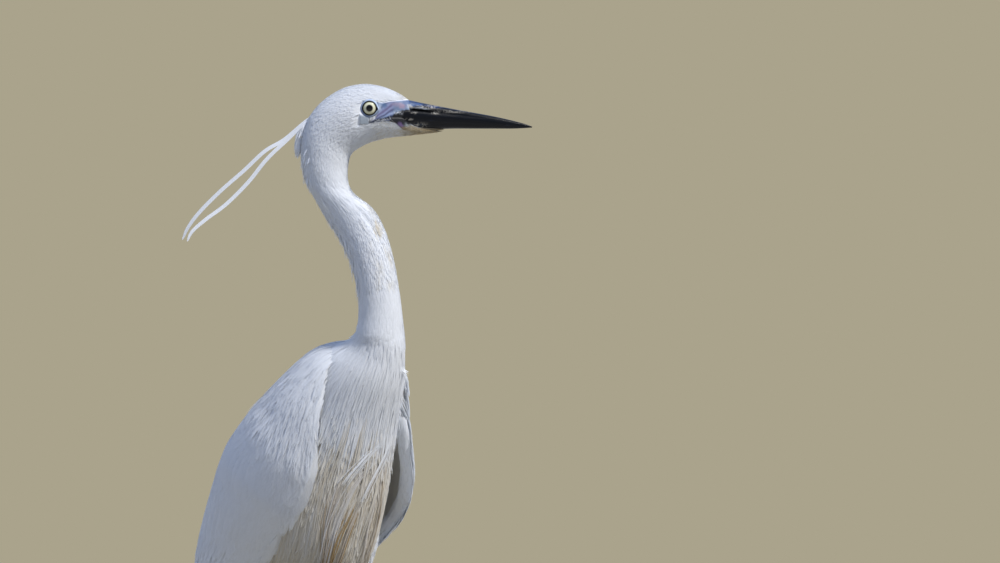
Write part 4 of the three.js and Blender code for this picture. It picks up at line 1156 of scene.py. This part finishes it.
# Armpit feathers: soft ones of the body's side that fill the armpit where the left wing hangs open, so
# that no gap shows between wing and breast.
ARMPIT = 620
start = np.stack([dice.uniform(20.3, 23.2, ARMPIT), dice.uniform(92, 128, ARMPIT)], -1)
end = start + np.stack([dice.uniform(0.6, 1.3, ARMPIT), dice.normal(-8, 3, ARMPIT)], -1)
lay_vanes(
    "armpit_feathers_left", flesh, start, end, (-3.0, 2.5, dice.uniform(3.0, 7.0, ARMPIT)),
    dice.uniform(2.2, 3.6, ARMPIT), whites(ARMPIT, 0.02), unwrapped(start[:, 0], start[:, 1]), steps=5,
    blunt=2.0, slant=0.5,
)

# Breast spikes: a few stiff feather ends that stick out where the neck's mane meets the breast, on the
# side away from the viewer, and show against the background.
SPIKES = 12
start = np.stack([dice.normal(20.1, 0.08, SPIKES), dice.normal(158, 4, SPIKES)], -1)
end = start + np.stack([dice.uniform(0.1, 0.5, SPIKES), dice.normal(0, 4, SPIKES)], -1)
lay_vanes(
    "breast_spikes", flesh, start, end, (-2.0, 1.5, dice.uniform(3.5, 8.0, SPIKES)),
    np.full(SPIKES, 1.1), whites(SPIKES, 0.02), unwrapped(start[:, 0], start[:, 1]), steps=5, blunt=1.6,
    slant=0,
)

# Wings, folded along the body: a flat arm and hand with a rounded leading edge, under rows of feathers
WING_DEPTH = [(98, 22), (80, 22), (60, 13), (40, 11), (-20, 10), (-60, 7), (-90, 3), (-210, 1.6)]
DEPTH_CURVE = eased(WING_DEPTH)[0]
WING_TOP = 74


def wing_core(sign):
    side = SIDE_NAMES[sign]
    along = np.linspace(79, -96, 60)
    low_edge = value_at(EDGE_CURVE, along)
    k = np.linspace(0, 1, 26)
    outer_angle = low_edge[:, None] + 3 + (WING_TOP - 4 - low_edge[:, None]) * k
    deep = value_at(DEPTH_CURVE, along) * np.minimum(1, np.arange(len(along)) / 5 + 0.2)
    taper = np.sin(math.pi * np.minimum(0.5, (k + 0.03) / 0.5))
    outer = cloak(sign, along[:, None], outer_angle, -3.6 - 2.0 * smooth_step(outer_angle, 48, 72))
    inner = cloak(sign, along[:, None], outer_angle, -4.4 - np.maximum(0.6, deep[:, None] * taper) * 0.8)
    rings = capped(np.concatenate([outer, inner[:, ::-1]], 1))
    unwrap = np.stack(np.meshgrid(np.linspace(0, 1, rings.shape[1]), np.linspace(0, 1, rings.shape[0])), -1)
    uvs = dict.fromkeys(("OFBake", "vane"), unwrap.reshape(-1, 2))
    piece = ringed_piece(f"wing_skin_{side}", rings, white_plumage, "plumage", rgb("#f2efe8"), uvs=uvs)
    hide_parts(f"wing_{side}")


wing_core(-1)
wing_core(1)


def wing_unwrapped(start):
    return np.stack([(start[:, 1] + 60) / 240, (start[:, 0] + 220) / 330], -1)


# Rows of a wing from the longest feathers out to the small ones: count, root of the lowest and of the
# uppermost feather, their tips, widths, and lifts over the cloak at root and tip.
WING_ROWS = {
    "primaries": (10, (-34, -38), (-64, -14), (-150, -40), (-205, 12), (15, 17), (-4.2, -3.4, -3.2)),
    "secondaries": (14, (-40, -32), (-26, 58), (-100, -40), (-192, 62), (20, 26), (-3.8, -2.8, -1.7)),
    "greater_coverts": (16, (12, -38), (4, 62), (-50, -44), (-96, 60), (17, 22), (-3.2, -1.7, -0.5)),
    "median_coverts": (18, (36, -34), (30, 62), (-8, -46), (-44, 60), (15, 19), (-3.0, -1.0, 0.1)),
}


def wing_rows(sign):
    side = SIDE_NAMES[sign]
    for title, (count, low_root, top_root, low_tip, top_tip, widths, lifts) in WING_ROWS.items():
        share = np.linspace(0, 1, count)[:, None]
        start = np.array(low_root) * (1 - share) + np.array(top_root) * share
        end = np.array(low_tip) * (1 - share) + np.array(top_tip) * share
        end = end + dice.normal(0, 1, end.shape) * [2.5, 0.8]
        drop = 2.4 * smooth_step(start[:, 1], 48, 72)
        steps, across = 18, 9
        tint = whites(count, 0.015)[:, None, None, :]
        if title == "primaries":
            # the flight feathers' edges are brownish towards their tips
            edge = np.abs(np.linspace(-1, 1, across)) ** 3
            towards_tip = smooth_step(np.linspace(0, 1, steps + 1), 0.35, 0.9)
            tint = blend(tint, rgb("#8d7d68"), 0.55 * edge * towards_tip[None, :, None])
        lay_vanes(
            f"{title}_{side}", partial(cloak, sign), start, end,
            (lifts[0] - drop, lifts[1] - drop, lifts[2] - drop + dice.uniform(-0.2, 0.3, count)),
            widths[0] + (widths[1] - widths[0]) * share[:, 0], tint, wing_unwrapped(start), steps=steps,
            across=across, blunt=5, cup=0.03, slant=0.2, ragged=0.03, twist=-sign * 3.5,
        )


# Scapulars and small coverts: narrow soft feathers that run from the shoulders over both wings, so that
# back and wings read as one surface, smallest at the wrist and the leading edge.
SMALL_COVERTS = 4000


def small_coverts(sign):
    along = dice.uniform(-70, 92, SMALL_COVERTS * 3)
    angle = dice.uniform(-48, 91, SMALL_COVERTS * 3)
    inside = angle > value_at(EDGE_CURVE, along) + 1
    thinning = smooth_step(along, -75, 5)
    keep = np.flatnonzero(inside & (dice.uniform(0, 1, len(along)) < thinning))[:SMALL_COVERTS]
    along, angle = along[keep], angle[keep]
    long = np.interp(along, [-70, -6, 40, 92], [34, 34, 30, 22]) * dice.uniform(0.75, 1.25, len(along))
    low_edge = value_at(EDGE_CURVE, along)
    near_edge = 1 - smooth_step(angle, low_edge + 2, low_edge + 22)
    long = long * (1 - 0.35 * near_edge)
    start = np.stack([along, angle], -1)
    slide = np.interp(along, [-40, 0, 46, 75, 95], [0, -1, -9, -12, -12]) * (1 - smooth_step(angle, 5, 50))
    end = np.stack([along - long, angle + slide + dice.normal(0, 2.0, len(along))], -1)
    rise = dice.uniform(-0.3, 0.4, len(along)) + np.interp(along, [-6, 92], [0, 0.2])
    lay_vanes(
        f"small_coverts_{SIDE_NAMES[sign]}", partial(cloak, sign), start, end,
        (-2.4, -0.6, 0.25 * rise - 0.05), dice.uniform(2.6, 5.0, len(along)), whites(len(along), 0.015),
        wing_unwrapped(start), steps=5, blunt=2.2, cup=0.03, slant=0.5,
    )


# Shoulder plumes: loose narrow ones that sweep from the side of the breast over the wing's front edge.
# Their roots are on the body, so they close the gap where the wing hangs away from it.
SHOULDER_PLUMES = 1300


def shoulder_plumes(sign):
    along = dice.uniform(50, 103, SHOULDER_PLUMES)
    angle = dice.uniform(-26, 66, SHOULDER_PLUMES)
    keep = np.flatnonzero(angle > np.interp(along, [50, 62, 74, 84, 100], [-26, -24, -12, 0, 8]))
    along, angle = along[keep], angle[keep]
    gap = value_at(OPEN_CURVES[sign], along) * smooth_step(60 - angle, 0, 80)
    long = dice.uniform(26, 44, len(along))
    start = np.stack([along, angle], -1)
    fall = dice.uniform(8, 20, len(along)) * np.interp(angle, [-12, 30, 66], [1.0, 0.8, 0.3])
    end = np.stack([along - long, angle - fall], -1)
    lay_vanes(
        f"shoulder_plumes_{SIDE_NAMES[sign]}", partial(cloak, sign), start, end,
        (-4.0 - 1.2 * gap, 0.4, 0.5 + dice.uniform(-0.4, 0.6, len(along))),
        dice.uniform(1.5, 2.8, len(along)), whites(len(along), 0.02), wing_unwrapped(start), steps=8,
        blunt=1.8, cup=0.05, slant=0.4, bow=dice.normal(0, 1.2, len(along)),
    )


# Leading edge and underside of each wing: tiny scale-like coverts wrap the rounded edge, and longer ones,
# tinted cream as painted warm shade, lie along the inner face.
EDGE_COVERTS = 700
UNDERWING_COVERTS = 260


def edge_coverts(sign):
    def around_edge(along, turn, lift):
        # turn 0 is the outside just above the edge, 180 the inside
        low_edge = value_at(EDGE_CURVE, along)
        deep = value_at(DEPTH_CURVE, along) * 0.42
        turn = np.radians(turn)[..., None]
        base = cloak(sign, along, low_edge + 4, -1.2 - deep)
        outward = unit(cloak(sign, along, low_edge + 4, 3.0) - cloak(sign, along, low_edge + 4, 0.0))
        downward = unit(cloak(sign, along, low_edge + 2, 0.0) - cloak(sign, along, low_edge + 6, 0.0))
        reach = (deep + lift)[..., None]
        return base + outward * np.cos(turn) * reach + downward * np.sin(turn) * reach * 1.1

    along = dice.uniform(-58, 52, EDGE_COVERTS)
    turn = dice.uniform(-10, 190, EDGE_COVERTS)
    long = np.interp(along, [-58, 52], [17, 12]) * dice.uniform(0.8, 1.2, EDGE_COVERTS)
    start = np.stack([along, turn], -1)
    end = np.stack([along - long, turn + dice.normal(0, 8, EDGE_COVERTS)], -1)
    lay_vanes(
        f"edge_coverts_{SIDE_NAMES[sign]}", around_edge, start, end,
        (-0.6, 0.1, 0.5 + dice.uniform(-0.2, 0.4, EDGE_COVERTS)), long * 0.42,
        whites(EDGE_COVERTS, 0.015), wing_unwrapped(start), steps=5, blunt=3, cup=0.08,
    )


def underwing_coverts(sign):
    def inner_face(along, angle, lift):
        taper = np.sin(math.pi * np.clip((angle - value_at(EDGE_CURVE, along)) / 110, 0.03, 0.5))
        return cloak(sign, along, angle, -4.6 - 0.8 * value_at(DEPTH_CURVE, along) * taper - lift)

    along = dice.uniform(-60, 52, UNDERWING_COVERTS)
    angle = value_at(EDGE_CURVE, along) + dice.uniform(5, 60, UNDERWING_COVERTS)
    start = np.stack([along, angle], -1)
    long = dice.uniform(26, 44, UNDERWING_COVERTS)
    end = np.stack([along - long, angle + dice.normal(0, 2, UNDERWING_COVERTS)], -1)
    lay_vanes(
        f"underwing_coverts_{SIDE_NAMES[sign]}", inner_face, start, end, (-0.5, 0.4, 1.2),
        dice.uniform(6, 9, UNDERWING_COVERTS),
        # tinted cream: painted warm shade on the wing's inner face
        whites(UNDERWING_COVERTS, 0.03, dice.uniform(0.1, 0.35, UNDERWING_COVERTS)),
        wing_unwrapped(start), steps=6, across=5, blunt=3, cup=0.05,
    )


for sign in SIDE_NAMES:
    for lay_part in (wing_rows, small_coverts, shoulder_plumes, edge_coverts, underwing_coverts):
        lay_part(sign)

# Plumes of the back: long shafts that spring between the shoulders and run down over the wings, each
# with loose hair-like barbs on both sides, their tips curling up.
BACK_PLUMES = 22
BARBS = 80
PLUME_LIFTS = (-5.0, 1.4, 2.2)
share = np.linspace(-1, 1, BACK_PLUMES)
plume_root = np.stack([46 - 22 * np.abs(share) + dice.uniform(-4, 4, BACK_PLUMES), 90 - share * 12], -1)
plume_end = -120 - dice.uniform(0, 50, BACK_PLUMES)
plume_tip = np.stack([plume_end, 90 - share * 30 + dice.normal(0, 2, BACK_PLUMES)], -1)


def over_back(along, angle, lift):
    # angle runs past 90 degrees on to the left wing
    right = angle < 90
    return np.where(right[..., None], cloak(-1, along, angle, lift), cloak(1, along, 180 - angle, lift))


lay_vanes(
    "back_plume_shafts", over_back, plume_root, plume_tip, PLUME_LIFTS, np.full(BACK_PLUMES, 0.8),
    whites(BACK_PLUMES, 0.01), wing_unwrapped(plume_root % 180), steps=24, blunt=6,
)
s = np.tile(np.linspace(0.12, 0.97, BARBS), BACK_PLUMES)
which = np.repeat(np.arange(BACK_PLUMES), BARBS)
for hand in (-1, 1):
    root = plume_root[which] + (plume_tip - plume_root)[which] * s[:, None]
    reach = 24 * (1 - 0.35 * s) * dice.uniform(0.7, 1.2, len(s))
    fan = hand * np.interp(s, [0, 0.6, 1], [7.0, 5.0, 2.0]) * dice.uniform(0.5, 1.2, len(s))
    end = root + np.stack([-reach, fan], -1)
    base = PLUME_LIFTS[0] * (1 - s) ** 2 + 2 * PLUME_LIFTS[1] * s * (1 - s) + PLUME_LIFTS[2] * s**2
    curl = np.interp(s, [0, 0.7, 1], [0.0, 0.6, 2.5]) * dice.uniform(0.3, 1.3, len(s))
    lay_vanes(
        f"back_plume_barbs_{'left' if hand > 0 else 'right'}", over_back, root, end,
        (base, base + 0.2, base + curl), np.full(len(s), 0.55), whites(len(s), 0.03),
        wing_unwrapped(root % 180), steps=5, blunt=3, cup=0, slant=0, bow=dice.normal(0, 0.6, len(s)),
    )

# Nape plumes: two long narrow feathers grow from the back of the crown and curve down behind the
# neck, each a flat soft ribbon. Each row is its run of places (x, z), then its first and last depth.
NAPE_PLUMES = [
    (
        [(16, 520), (7, 521.5), (-10, 507.5), (-24, 499), (-38, 486),
         (-54, 472), (-68, 458), (-76, 447.5), (-80.2, 438.5)],
        (-21, -18),
    ),
    (
        [(16, 517), (5, 518.5), (-10, 505.5), (-23, 493), (-35, 478),
         (-50, 463), (-64, 452.5), (-73, 444.5), (-76.6, 437.5)],
        (-23.5, -29),
    ),
]
NAPE_WIDTH = 2.7
NAPE_FACING = np.array([0.1, -1, 0.55])


def nape_surface(rows, first_y, last_y):
    last = len(rows) - 1
    table = np.array([(x, first_y + (last_y - first_y) * i / last, z) for i, (x, z) in enumerate(rows)])

    def surface(t, aside, lift):
        t, aside, lift = np.broadcast_arrays(t, aside, lift)
        middle = through(table, t)
        ahead = unit(through(table, np.minimum(t + 0.05, last)) - through(table, np.maximum(t - 0.05, 0)))
        outward = unit(NAPE_FACING - (ahead * NAPE_FACING).sum(-1, keepdims=True) * ahead)
        return middle + np.cross(ahead, outward) * aside[..., None] + outward * lift[..., None]

    return surface


for number, (rows, depths) in enumerate(NAPE_PLUMES):
    surface = nape_surface(rows, *depths)
    lay_vanes(
        f"nape_plume_{number + 1}", surface, np.array([[0.0, 0.0]]), np.array([[8.0, 0.0]]),
        (-0.1, 0.1, 0.0), np.array([NAPE_WIDTH]), whites(1, 0.0), np.array([[0.3 + 0.2 * number, 0.1]]),
        steps=90, across=5, blunt=9, cup=0.0, slant=0, grain=0.04,
    )

# Nape tuft: short loose strands that hang from the back of the crown just under the plumes' roots, in
# one pointed lock that stands a little off the neck.
TUFT_PATH = [(6.0, 521.0), (2.5, 516.0), (-0.2, 508.5), (-1.6, 500.5), (-1.8, 494.0)]
TUFT_RADIUS = [0.6, 1.8, 2.3, 1.9, 0.4]
TUFT_STRANDS = 260


def nape_tuft_surface(t, turn, lift):
    t, turn, lift = np.broadcast_arrays(t, turn, lift)
    middle = through(np.array([(x, BILL_PLANE, z) for x, z in TUFT_PATH]), t)
    radius = np.interp(t, np.arange(len(TUFT_RADIUS)), TUFT_RADIUS) + lift
    return middle + np.stack([-radius * np.cos(turn), 1.3 * radius * np.sin(turn), 0 * radius], -1)


turn = dice.uniform(-math.pi, math.pi, TUFT_STRANDS)
start = np.stack([dice.uniform(0, 2.2, TUFT_STRANDS), turn], -1)
reach = dice.uniform(1.3, 2.0, TUFT_STRANDS)
end = np.stack([start[:, 0] + reach, turn + dice.normal(0, 0.15, TUFT_STRANDS)], -1)
lay_vanes(
    "nape_tuft", nape_tuft_surface, start, end, (-0.9, 0.0, dice.uniform(-0.3, 1.3, TUFT_STRANDS)),
    np.full(TUFT_STRANDS, 1.1), whites(TUFT_STRANDS, 0.02),
    np.stack([0.5 + 0.01 * turn, 0.3 + 0.02 * start[:, 0]], -1), steps=6, blunt=2.0, slant=0,
)

# Tail: twelve short, broad feathers in one closed fan under the wing tips, their roots wrapped in small
# coverts that run on from the rump.
TAIL_ROOT = -108
TAIL_TIP = -188
TAIL_HALF = 11
TAIL_FEATHERS = 12
TAIL_COVERTS = 260
TAIL_DROP_END = TAIL_ROOT - 44  # from here on the tail lies close under the wings


def tail_line(along, share):
    """Height of the tail's middle over the body's axis, as it moves from the rump to under the wings."""
    under_wings = value_at(CLOAK_CURVES[0], along) - 0.42 * value_at(CLOAK_CURVES[1], along)
    return 2 + (under_wings - 2) * share


def tail_surface(along, aside, lift):
    along, aside, lift = np.broadcast_arrays(along, aside, lift)
    above = tail_line(along, smooth_step(along, TAIL_ROOT, TAIL_DROP_END))
    return in_body(along, above + lift - 0.012 * aside**2, aside)


def rump_surface(along, turn, lift):
    along, turn, lift = np.broadcast_arrays(along, turn, lift)
    t = smooth_step(along, TAIL_ROOT + 10, TAIL_DROP_END)
    tall = 10 * (1 - t) + 1.5 * t
    wide = 11 * (1 - t) + 7 * t
    return in_body(along, tail_line(along, t) + (tall + lift) * np.sin(turn), (wide + lift) * np.cos(turn))


tail_share = np.linspace(-1, 1, TAIL_FEATHERS)
start = np.stack([np.full(TAIL_FEATHERS, TAIL_ROOT + 4.0), tail_share * 4], -1)
end = np.stack([TAIL_TIP + 6 * tail_share**2, tail_share * (TAIL_HALF - 4)], -1)
tail_vanes = lay_vanes(
    "tail_feathers", tail_surface, start, end,
    (0.0, 1.5 * (1 - np.abs(tail_share)), 2.2 * (1 - np.abs(tail_share))), np.full(TAIL_FEATHERS, 11.0),
    whites(TAIL_FEATHERS, 0.02), np.stack([0.5 + 0.03 * tail_share, np.full(TAIL_FEATHERS, 0.95)], -1),
    steps=14, across=7, blunt=5, cup=0.03,
)
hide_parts("tail")
along = dice.uniform(TAIL_ROOT - 30, TAIL_ROOT + 12, TAIL_COVERTS)
turn = dice.uniform(0, 2 * math.pi, TAIL_COVERTS)
start = np.stack([along, turn], -1)
end = np.stack([along - dice.uniform(22, 34, TAIL_COVERTS), turn + dice.normal(0, 0.1, TAIL_COVERTS)], -1)
lay_vanes(
    "tail_coverts", rump_surface, start, end, (-1.0, 0.2, 0.8), np.full(TAIL_COVERTS, 7.0),
    whites(TAIL_COVERTS, 0.02), np.stack([turn / 6.3, np.full(TAIL_COVERTS, 0.97)], -1), steps=6,
    blunt=2.5,
)

# Legs: thin black scaled shanks with knobbly ankles, feathered down over the upper shin. The feet are
# dull yellow, with three long toes ahead and one behind, and dark claws.
LEG_SPREAD = 22
TOE_HEIGHT = 8
ANKLE_HEIGHT = TOE_HEIGHT + 103
THIGH_END = 0.6
THIGH_SHAPE = ((-0.1, 0.1, 0.25, 0.4, 0.52, THIGH_END, 0.7), (18, 17, 13, 8.6, 5.6, 3.6, 3.0))
THIGH_AROUND = 32
THIGH_FEATHERS = 2600
LEG_AROUND = 24
TOE_AROUND = 18
CLAW_LENGTH = 8
LEGS = {"right": (-1, -6), "left": (1, 20)}  # side and step ahead
TOES = [("inner", 24, 48, 2), ("middle", -3, 60, 3), ("outer", -30, 53, 4), ("hind", 172, 34, 1)]
LEG_BLACK = rgb("#23241f")
TOE_YELLOW = rgb("#b5a03c")
CLAW_DARK = rgb("#1c1a18")

leg_scales, tree, shader = new_material("leg_scaled_skin", {"Roughness": 0.5})
where = add_node(tree, "ShaderNodeTexCoord").outputs["Object"]
# scutes about 2.5 mm tall
scutes = add_node(
    tree, "ShaderNodeTexVoronoi", {"feature": "DISTANCE_TO_EDGE", "Scale": 420.0}, {"Vector": where}
)
seams = add_node(tree, "ShaderNodeMapRange", {"From Max": 0.12}, {"Value": scutes.outputs["Distance"]})
seams = seams.outputs[0]
faint = add_node(tree, "ShaderNodeMapRange", {"To Min": 0.45, "To Max": 0.0}, {"Value": seams}).outputs[0]
scaled = mix_colours(tree, faint, painted(tree, "tint"), "#3c3b35")
tree.links.new(scaled, shader.inputs["Base Color"])
add_relief(tree, shader, 0.6, 0.0004, seams)


def leg_point(sign, along, z, aside=0):
    base = BODY_CENTRE * [1, 1, 0] + heading * along + leftward * sign * (LEG_SPREAD + aside)
    return base + UP * z


def leg_tube(points, radii, flat, rings):
    points, radii = np.array(points, float), np.array(radii, float)[:, None]
    t = np.linspace(0, len(points) - 1, rings)
    middle, radius = through(points, t), through(radii, t)
    ahead = unit(np.gradient(middle, axis=0))
    side = unit(np.cross(ahead, heading))
    fore = np.cross(side, ahead)
    turn = np.arange(LEG_AROUND) * 2 * math.pi / LEG_AROUND
    return capped(
        middle[:, None]
        + fore[:, None] * (radius * np.cos(turn))[..., None]
        + side[:, None] * (radius * flat * np.sin(turn))[..., None]
    )


def toe_rings(middle, radius, across, wide, lowest):
    """Rings round a run that lies level, pressed flat where they would go through the floor."""
    turn = np.arange(TOE_AROUND) * 2 * math.pi / TOE_AROUND
    ring = (
        middle[:, None]
        + across * (wide * radius[:, None] * np.cos(turn))[..., None]
        + UP * (radius[:, None] * np.sin(turn))[..., None]
    )
    ring[..., 2] = np.maximum(ring[..., 2], lowest)
    return ring


for side, (sign, step) in LEGS.items():
    top = leg_point(sign, 4 + step, 246, -2)
    ankle = leg_point(sign, -22 + step, ANKLE_HEIGHT)
    joint = leg_point(sign, 8 + step, TOE_HEIGHT, 1)

    def thigh_surface(share, turn, lift, top=top, ankle=ankle):
        share, turn, lift = np.broadcast_arrays(share, turn, lift)
        ahead = unit(ankle - top)
        out_side = unit(np.cross(ahead, heading))
        fore = np.cross(out_side, ahead)
        radius = np.interp(share, *THIGH_SHAPE)
        return (
            top
            + (ankle - top) * share[..., None]
            + fore * ((radius + lift) * np.cos(turn))[..., None]
            + out_side * ((0.85 * radius + lift) * np.sin(turn))[..., None]
        )

    thigh_turns = np.arange(THIGH_AROUND) * 2 * math.pi / THIGH_AROUND
    share_grid, turn_grid = np.meshgrid(np.linspace(-0.1, THIGH_END, 40), thigh_turns, indexing="ij")
    thigh = capped(thigh_surface(share_grid, turn_grid, -1.5))[1:]
    thigh_rows = np.repeat(np.linspace(0, 1, len(thigh)), THIGH_AROUND)
    unwrap = np.stack([np.tile(np.arange(THIGH_AROUND) / THIGH_AROUND, len(thigh)), thigh_rows], -1)
    layers = {"uvs": {"OFBake": unwrap}, "floats": {"wear": np.zeros(thigh.size // 3)}}
    thigh_skin = ringed_piece(f"thigh_skin_{side}", thigh, bare_skin, "plumage", rgb("#e4e7ee"), **layers)
    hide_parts(f"thigh_{side}")
    share = dice.uniform(-0.08, THIGH_END - 0.02, THIGH_FEATHERS)
    turn = dice.uniform(0, 2 * math.pi, THIGH_FEATHERS)
    long = np.interp(share, [-0.1, 0.3, 0.6], [20, 15, 8]) * dice.uniform(0.8, 1.2, THIGH_FEATHERS)
    reach = np.linalg.norm(ankle - top)
    start = np.stack([share, turn], -1)
    end = np.stack([np.minimum(share + long / reach, 0.66), turn + dice.normal(0, 0.08, THIGH_FEATHERS)], -1)
    lay_vanes(
        f"thigh_feathers_{side}", thigh_surface, start, end,
        (-1.8, -0.2, 0.5 + dice.uniform(-0.4, 0.8, THIGH_FEATHERS)), long * 0.2,
        whites(THIGH_FEATHERS, 0.03), np.stack([turn / 6.4, 0.5 + 0.5 * share], -1), steps=4, blunt=2.0,
    )

    middles = [top + (ankle - top) * share for share in (0.5, 0.62, 0.74, 0.86, 0.95)]
    middles += [ankle, ankle + (joint - ankle) * 0.03]
    shin = leg_tube(middles, [2.8, 3.2, 2.7, 2.8, 3.5, 4.2, 4.0], 0.85, 60)
    shin_piece = ringed_piece(f"shin_scales_{side}", shin, leg_scales, "leg", LEG_BLACK)
    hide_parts(f"shin_{side}")
    middles = [ankle + (joint - ankle) * share for share in (0.0, 0.04, 0.1, 0.3, 0.6, 0.88, 0.96, 1.0)]
    tarsus = leg_tube(middles, [4.2, 4.1, 3.4, 2.5, 2.4, 2.9, 3.6, 3.9], 0.82, 110)
    low_part = smooth_step(tarsus[..., 2], 24, 12).reshape(-1)
    tarsus_colour = blend(LEG_BLACK, TOE_YELLOW, 0.85 * low_part)
    tarsus_piece = ringed_piece(f"tarsus_scales_{side}", tarsus, leg_scales, "leg", tarsus_colour)
    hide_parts(f"tarsus_{side}")

    points, quads, tints = [], [], []
    for number, (toe_name, turn_degrees, toe_long, joints) in enumerate(TOES):
        turn = math.radians(-sign * turn_degrees)
        ahead = heading * math.cos(turn) + np.cross(UP, heading) * math.sin(turn)
        across = np.cross(ahead, UP)
        s = np.linspace(0, 1, 70)
        knuckle = np.abs(np.sin(math.pi * s * joints)) ** 3
        radius = (2.1 + 0.4 * (1 - knuckle)) * (1 - 0.28 * s)
        radius = np.maximum(np.where(s < 0.06, 3.0 - 12 * s, radius), 1.3)
        height = np.maximum((TOE_HEIGHT - 2.5) * (1 - smooth_step(s, 0.0, 0.28)), radius * 0.92)
        middle = joint * [1, 1, 0] + ahead * (toe_long * s)[:, None] + UP * height[:, None]
        toe = capped(toe_rings(middle, radius, across, 1.0, 0.0))
        points.append(toe.reshape(-1, 3))
        quads.append(quads_between(len(toe), TOE_AROUND, True) + number * len(points[0]))
        dirty = np.clip(0.25 + 0.3 * ripple(points[-1], 9, 1.0), 0, 1)
        tints.append(blend(TOE_YELLOW, rgb("#6f6a2c"), dirty))

        s = np.linspace(0, 1, 20)
        radius = 1.35 * (1 - s) ** 0.7 + 0.05
        height = 1.9 + 0.5 * np.sin(math.pi * s) - 1.6 * s**2
        reach = toe_long - 0.6 + (CLAW_LENGTH + 0.4) * s
        middle = joint * [1, 1, 0] + ahead * reach[:, None] + UP * height[:, None]
        claw = capped(toe_rings(middle, radius, across, 0.75, 0.05))[:-1]
        unworn = {"wear": np.zeros(claw.size // 3)}
        name = f"claw_horn_{side}_{toe_name}"
        claw_piece = ringed_piece(name, claw, bill_horn, "claw", CLAW_DARK, floats=unworn)
        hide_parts(f"claw_{side}_{toe_name}")
    foot_piece = new_piece(
        f"toes_{side}", np.concatenate(points), np.concatenate(quads), leg_scales, "foot",
        colours=np.concatenate(tints),
    )
    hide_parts(f"foot_{side}")
